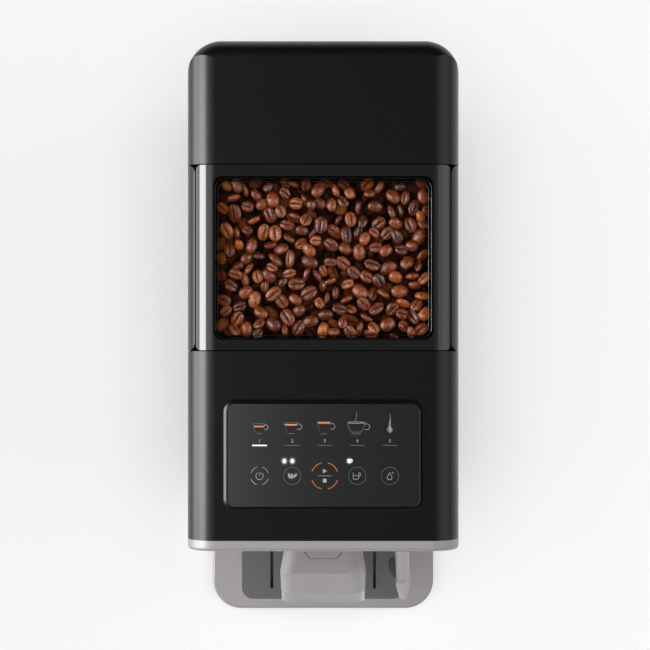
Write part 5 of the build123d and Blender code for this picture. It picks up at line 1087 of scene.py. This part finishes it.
def ceiling_card(name, x_outer, x_inner, radiance):
    """A dim card overhead that lies between two X places and faces down; no two hang equally high."""
    middle_y, height, depth, stagger = 0.03, 1.9, 1.2, 50
    x = (x_outer + x_inner) / 2
    return area_light(name, (x, middle_y, height + abs(x_inner) / stagger), (x, middle_y, 0.0),
                      abs(x_outer - x_inner), depth, radiance)


def light_group(name, lamps, items, state):
    """Links lamps to a group of objects, which they light alone (INCLUDE) or leave out (EXCLUDE)."""
    group = bpy.data.collections.new(name)
    for item in items:
        group.objects.link(item)
    for entry in group.collection_objects:
        entry.light_linking.link_state = state
    for lamp in lamps:
        lamp.light_linking.receiver_collection = group


class COFFEE_OT_studio(bpy.types.Operator):
    """Set the camera, the white floor and the studio lamps"""

    bl_idname = "coffee.studio"
    bl_label = "Studio"

    def execute(self, context):
        sizes, scene = context.scene.coffee_studio, context.scene
        scene.view_settings.view_transform = "Standard"
        data = bpy.data.cameras.new("Photo camera")
        data.sensor_width = SENSOR_MM
        data.lens = sizes.lens
        data.shift_x = (PHOTO_PIXELS / 2 - PRINCIPAL_PIXEL_X) / PHOTO_PIXELS
        camera = add_object("Photo camera", data)
        camera.location = (0.0, CAMERA_Y_MM * MM, sizes.camera_height)
        scene.camera = camera
        floor = self.floor(sizes)
        self.world(scene)
        self.lamps(sizes, floor)
        return {"FINISHED"}

    def floor(self, sizes):
        """A white sheet that the eye, metal and glass see a step brighter than it is lit."""
        reach = 12.0
        material = bpy.data.materials.new("White studio floor")
        tree = clear_tree(material)
        path = add_node(tree, "LightPath").outputs
        seen = add_node(tree, "Math", {0: path["Is Camera Ray"], 1: path["Is Glossy Ray"]}, operation="ADD")
        seen = add_node(tree, "Math", {0: seen, 1: path["Is Transmission Ray"]}, operation="ADD",
                        use_clamp=True)
        lift = add_node(tree, "Math", {0: seen, 1: sizes.floor_lift}, operation="MULTIPLY")
        shader = add_node(tree, "BsdfPrincipled", {
            "Base Color": (*sizes.floor_colour, 1), "Roughness": 0.9, "Specular IOR Level": 0.1,
            "Emission Color": (1, 1, 1, 1), "Emission Strength": lift})
        add_node(tree, "OutputMaterial", {"Surface": shader})
        mesh = bpy.data.meshes.new("floor")
        mesh.from_pydata([(-reach, -reach, 0), (reach, -reach, 0), (reach, reach, 0), (-reach, reach, 0)], [],
                         [(0, 1, 2, 3)])
        mesh.materials.append(material)
        floor = add_object("floor", mesh)
        return floor

    def lamps(self, sizes, floor):
        """Hangs the sheets and cards, whose radiances were matched to the photograph, and the light above."""
        left, right, card_reach, sun_width_deg = -1, 1, 1.3, 36
        lid, glass = frame["nodes"]["lid_frame"], frame["nodes"]["touch_glass"]
        panel_frame, beans = bpy.data.objects["panel_frame"], bpy.data.objects["loose_beans"]
        # The softbox and the sheet below it light the machine and not the floor, whose shadow stays even
        key = [side_sheet("Left softbox", left, (22, 50), 1.15, 1.5, sizes.key_radiance)]
        side_sheet("Left gloss sheet", left, (22, 50), 1.17, 0.9, 6.5, glossy_only=True)
        key.append(side_sheet("Left low sheet", left, (-12, 22), 1.19, 1.5, 1.6))
        flank = [side_sheet("Left low gloss sheet", left, (0, 22), 1.21, 0.8, 4.3, glossy_only=True),
                 side_sheet("Left floor sheet", left, (-14, 0), 1.23, 0.8, 2.6, glossy_only=True)]
        light_group("Satin flanks", flank, [floor, lid], "EXCLUDE")
        # Ceiling cards whose inner edges step back from the middle, so that their light fades towards it
        for x_inner, radiance in ((-0.30, 0.2), (-0.42, 0.3), (-0.60, 0.55)):
            ceiling_card(f"Left ceiling card {x_inner}", -card_reach, x_inner, radiance)
        light_group("Lit by the softbox", key, [floor], "EXCLUDE")
        # A card that only the touch glass mirrors: its blurred edge makes the glass paler on the left
        card = ceiling_card("Glass card", -0.95, -0.17, 1.1)
        light_group("Mirrors the card", [card], [glass], "INCLUDE")
        fill = [side_sheet("Right sheet", right, (8, 58), 1.15, 1.4, 0.62),
                side_sheet("Right middle sheet", right, (16, 46), 1.17, 1.4, 0.35)]
        light_group("Filled from the right", fill, [panel_frame], "EXCLUDE")
        for x_inner, radiance in ((0.5, 0.05), (0.7, 0.2)):
            ceiling_card(f"Right ceiling card {x_inner}", card_reach, x_inner, radiance)
        # A brighter sheet on the right for the coffee alone, whose oil shows a highlight on both sides
        sparkle = side_sheet("Coffee sheet", right, (22, 50), 1.2, 1.2, 5.0, glossy_only=True)
        light_group("Oily coffee", [sparkle], [beans], "INCLUDE")
        # A broad patch of light straight above, which gloss doesn't show
        sun = bpy.data.lights.new("Overhead", "SUN")
        sun.energy = sizes.overhead_irradiance
        sun.angle = math.radians(sun_width_deg)
        add_object("Overhead", sun).visible_glossy = False

    def world(self, scene):
        """A pale cove round the horizon, a dark gap above it and a dim ceiling: grey by elevation's sine.

        Dark flags stand on the right and behind, and dim the cove there.
        """
        backdrop_grey, flag_start, flag_end, flag_shade = 0.93, 0.35, 0.9, 0.2
        world = bpy.data.worlds.new("Studio")
        tree = clear_tree(world)
        direction = add_node(tree, "TexCoord").outputs["Generated"]
        parts = add_node(tree, "SeparateXYZ", {"Vector": direction}).outputs
        ramp = add_node(tree, "ValToRGB", {"Fac": parts["Z"]})
        stops = ((0.0, 0.9), (0.18, 0.88), (0.3, 0.05), (0.7, 0.05), (0.96, 0.125))
        ramp.color_ramp.elements.remove(ramp.color_ramp.elements[1])
        for i, (place, grey) in enumerate(stops):
            stop = ramp.color_ramp.elements[0] if i == 0 else ramp.color_ramp.elements.new(place)
            stop.position, stop.color = place, (grey, grey, grey, 1)
        flags = [add_node(tree, "MapRange", {
            "Value": parts[axis], "From Min": flag_start, "From Max": flag_end, "To Min": 1.0,
            "To Max": flag_shade}) for axis in ("X", "Y")]
        dim = add_node(tree, "Math", {0: flags[0], 1: flags[1]}, operation="MULTIPLY")
        sky = add_node(tree, "Background", {"Color": ramp, "Strength": dim})
        # The eye sees an even pale backdrop past the floor's end
        camera_ray = add_node(tree, "LightPath").outputs["Is Camera Ray"]
        backdrop = add_node(tree, "Background", {
            "Color": (backdrop_grey, backdrop_grey, backdrop_grey, 1), "Strength": 1.0})
        mixed = add_node(tree, "MixShader", {0: camera_ray, 1: sky, 2: backdrop})
        add_node(tree, "OutputWorld", {"Surface": mixed})
        scene.world = world


# Panel and registration

STEPS = ("finishes", "beans", "bean_bed", "panel_print", "bezel", "window_beads", "wand_socket", "wand",
         "wand_leaf", "spindle", "studio")


class COFFEE_PT_machine(bpy.types.Panel):
    """Lists the steps that dress the machine, with their sizes"""

    bl_label = "Coffee Machine"
    bl_idname = "COFFEE_PT_machine"
    bl_space_type = "VIEW_3D"
    bl_region_type = "UI"
    bl_category = "Coffee Machine"

    def draw(self, context):
        for step in STEPS:
            self.layout.operator("coffee." + step)
        for group in (context.scene.coffee_beans, context.scene.coffee_panel, context.scene.coffee_studio):
            column = self.layout.column()
            for key in group.__annotations__:
                column.prop(group, key)


CLASSES = (COFFEE_PG_beans, COFFEE_PG_panel, COFFEE_PG_studio, COFFEE_OT_finishes, COFFEE_OT_beans,
           COFFEE_OT_bean_bed, COFFEE_OT_panel_print, COFFEE_OT_bezel, COFFEE_OT_window_beads,
           COFFEE_OT_wand_socket, COFFEE_OT_wand, COFFEE_OT_wand_leaf, COFFEE_OT_spindle, COFFEE_OT_studio,
           COFFEE_PT_machine)


def register():
    for item in CLASSES:
        bpy.utils.register_class(item)
    bpy.types.Scene.coffee_beans = bpy.props.PointerProperty(type=COFFEE_PG_beans)
    bpy.types.Scene.coffee_panel = bpy.props.PointerProperty(type=COFFEE_PG_panel)
    bpy.types.Scene.coffee_studio = bpy.props.PointerProperty(type=COFFEE_PG_studio)


def unregister():
    del bpy.types.Scene.coffee_beans, bpy.types.Scene.coffee_panel, bpy.types.Scene.coffee_studio
    for item in reversed(CLASSES):
        bpy.utils.unregister_class(item)


def main():
    """Runs every step in order."""
    register()
    for step in STEPS:
        getattr(bpy.ops.coffee, step)()


if __name__ == "__main__":
    main()
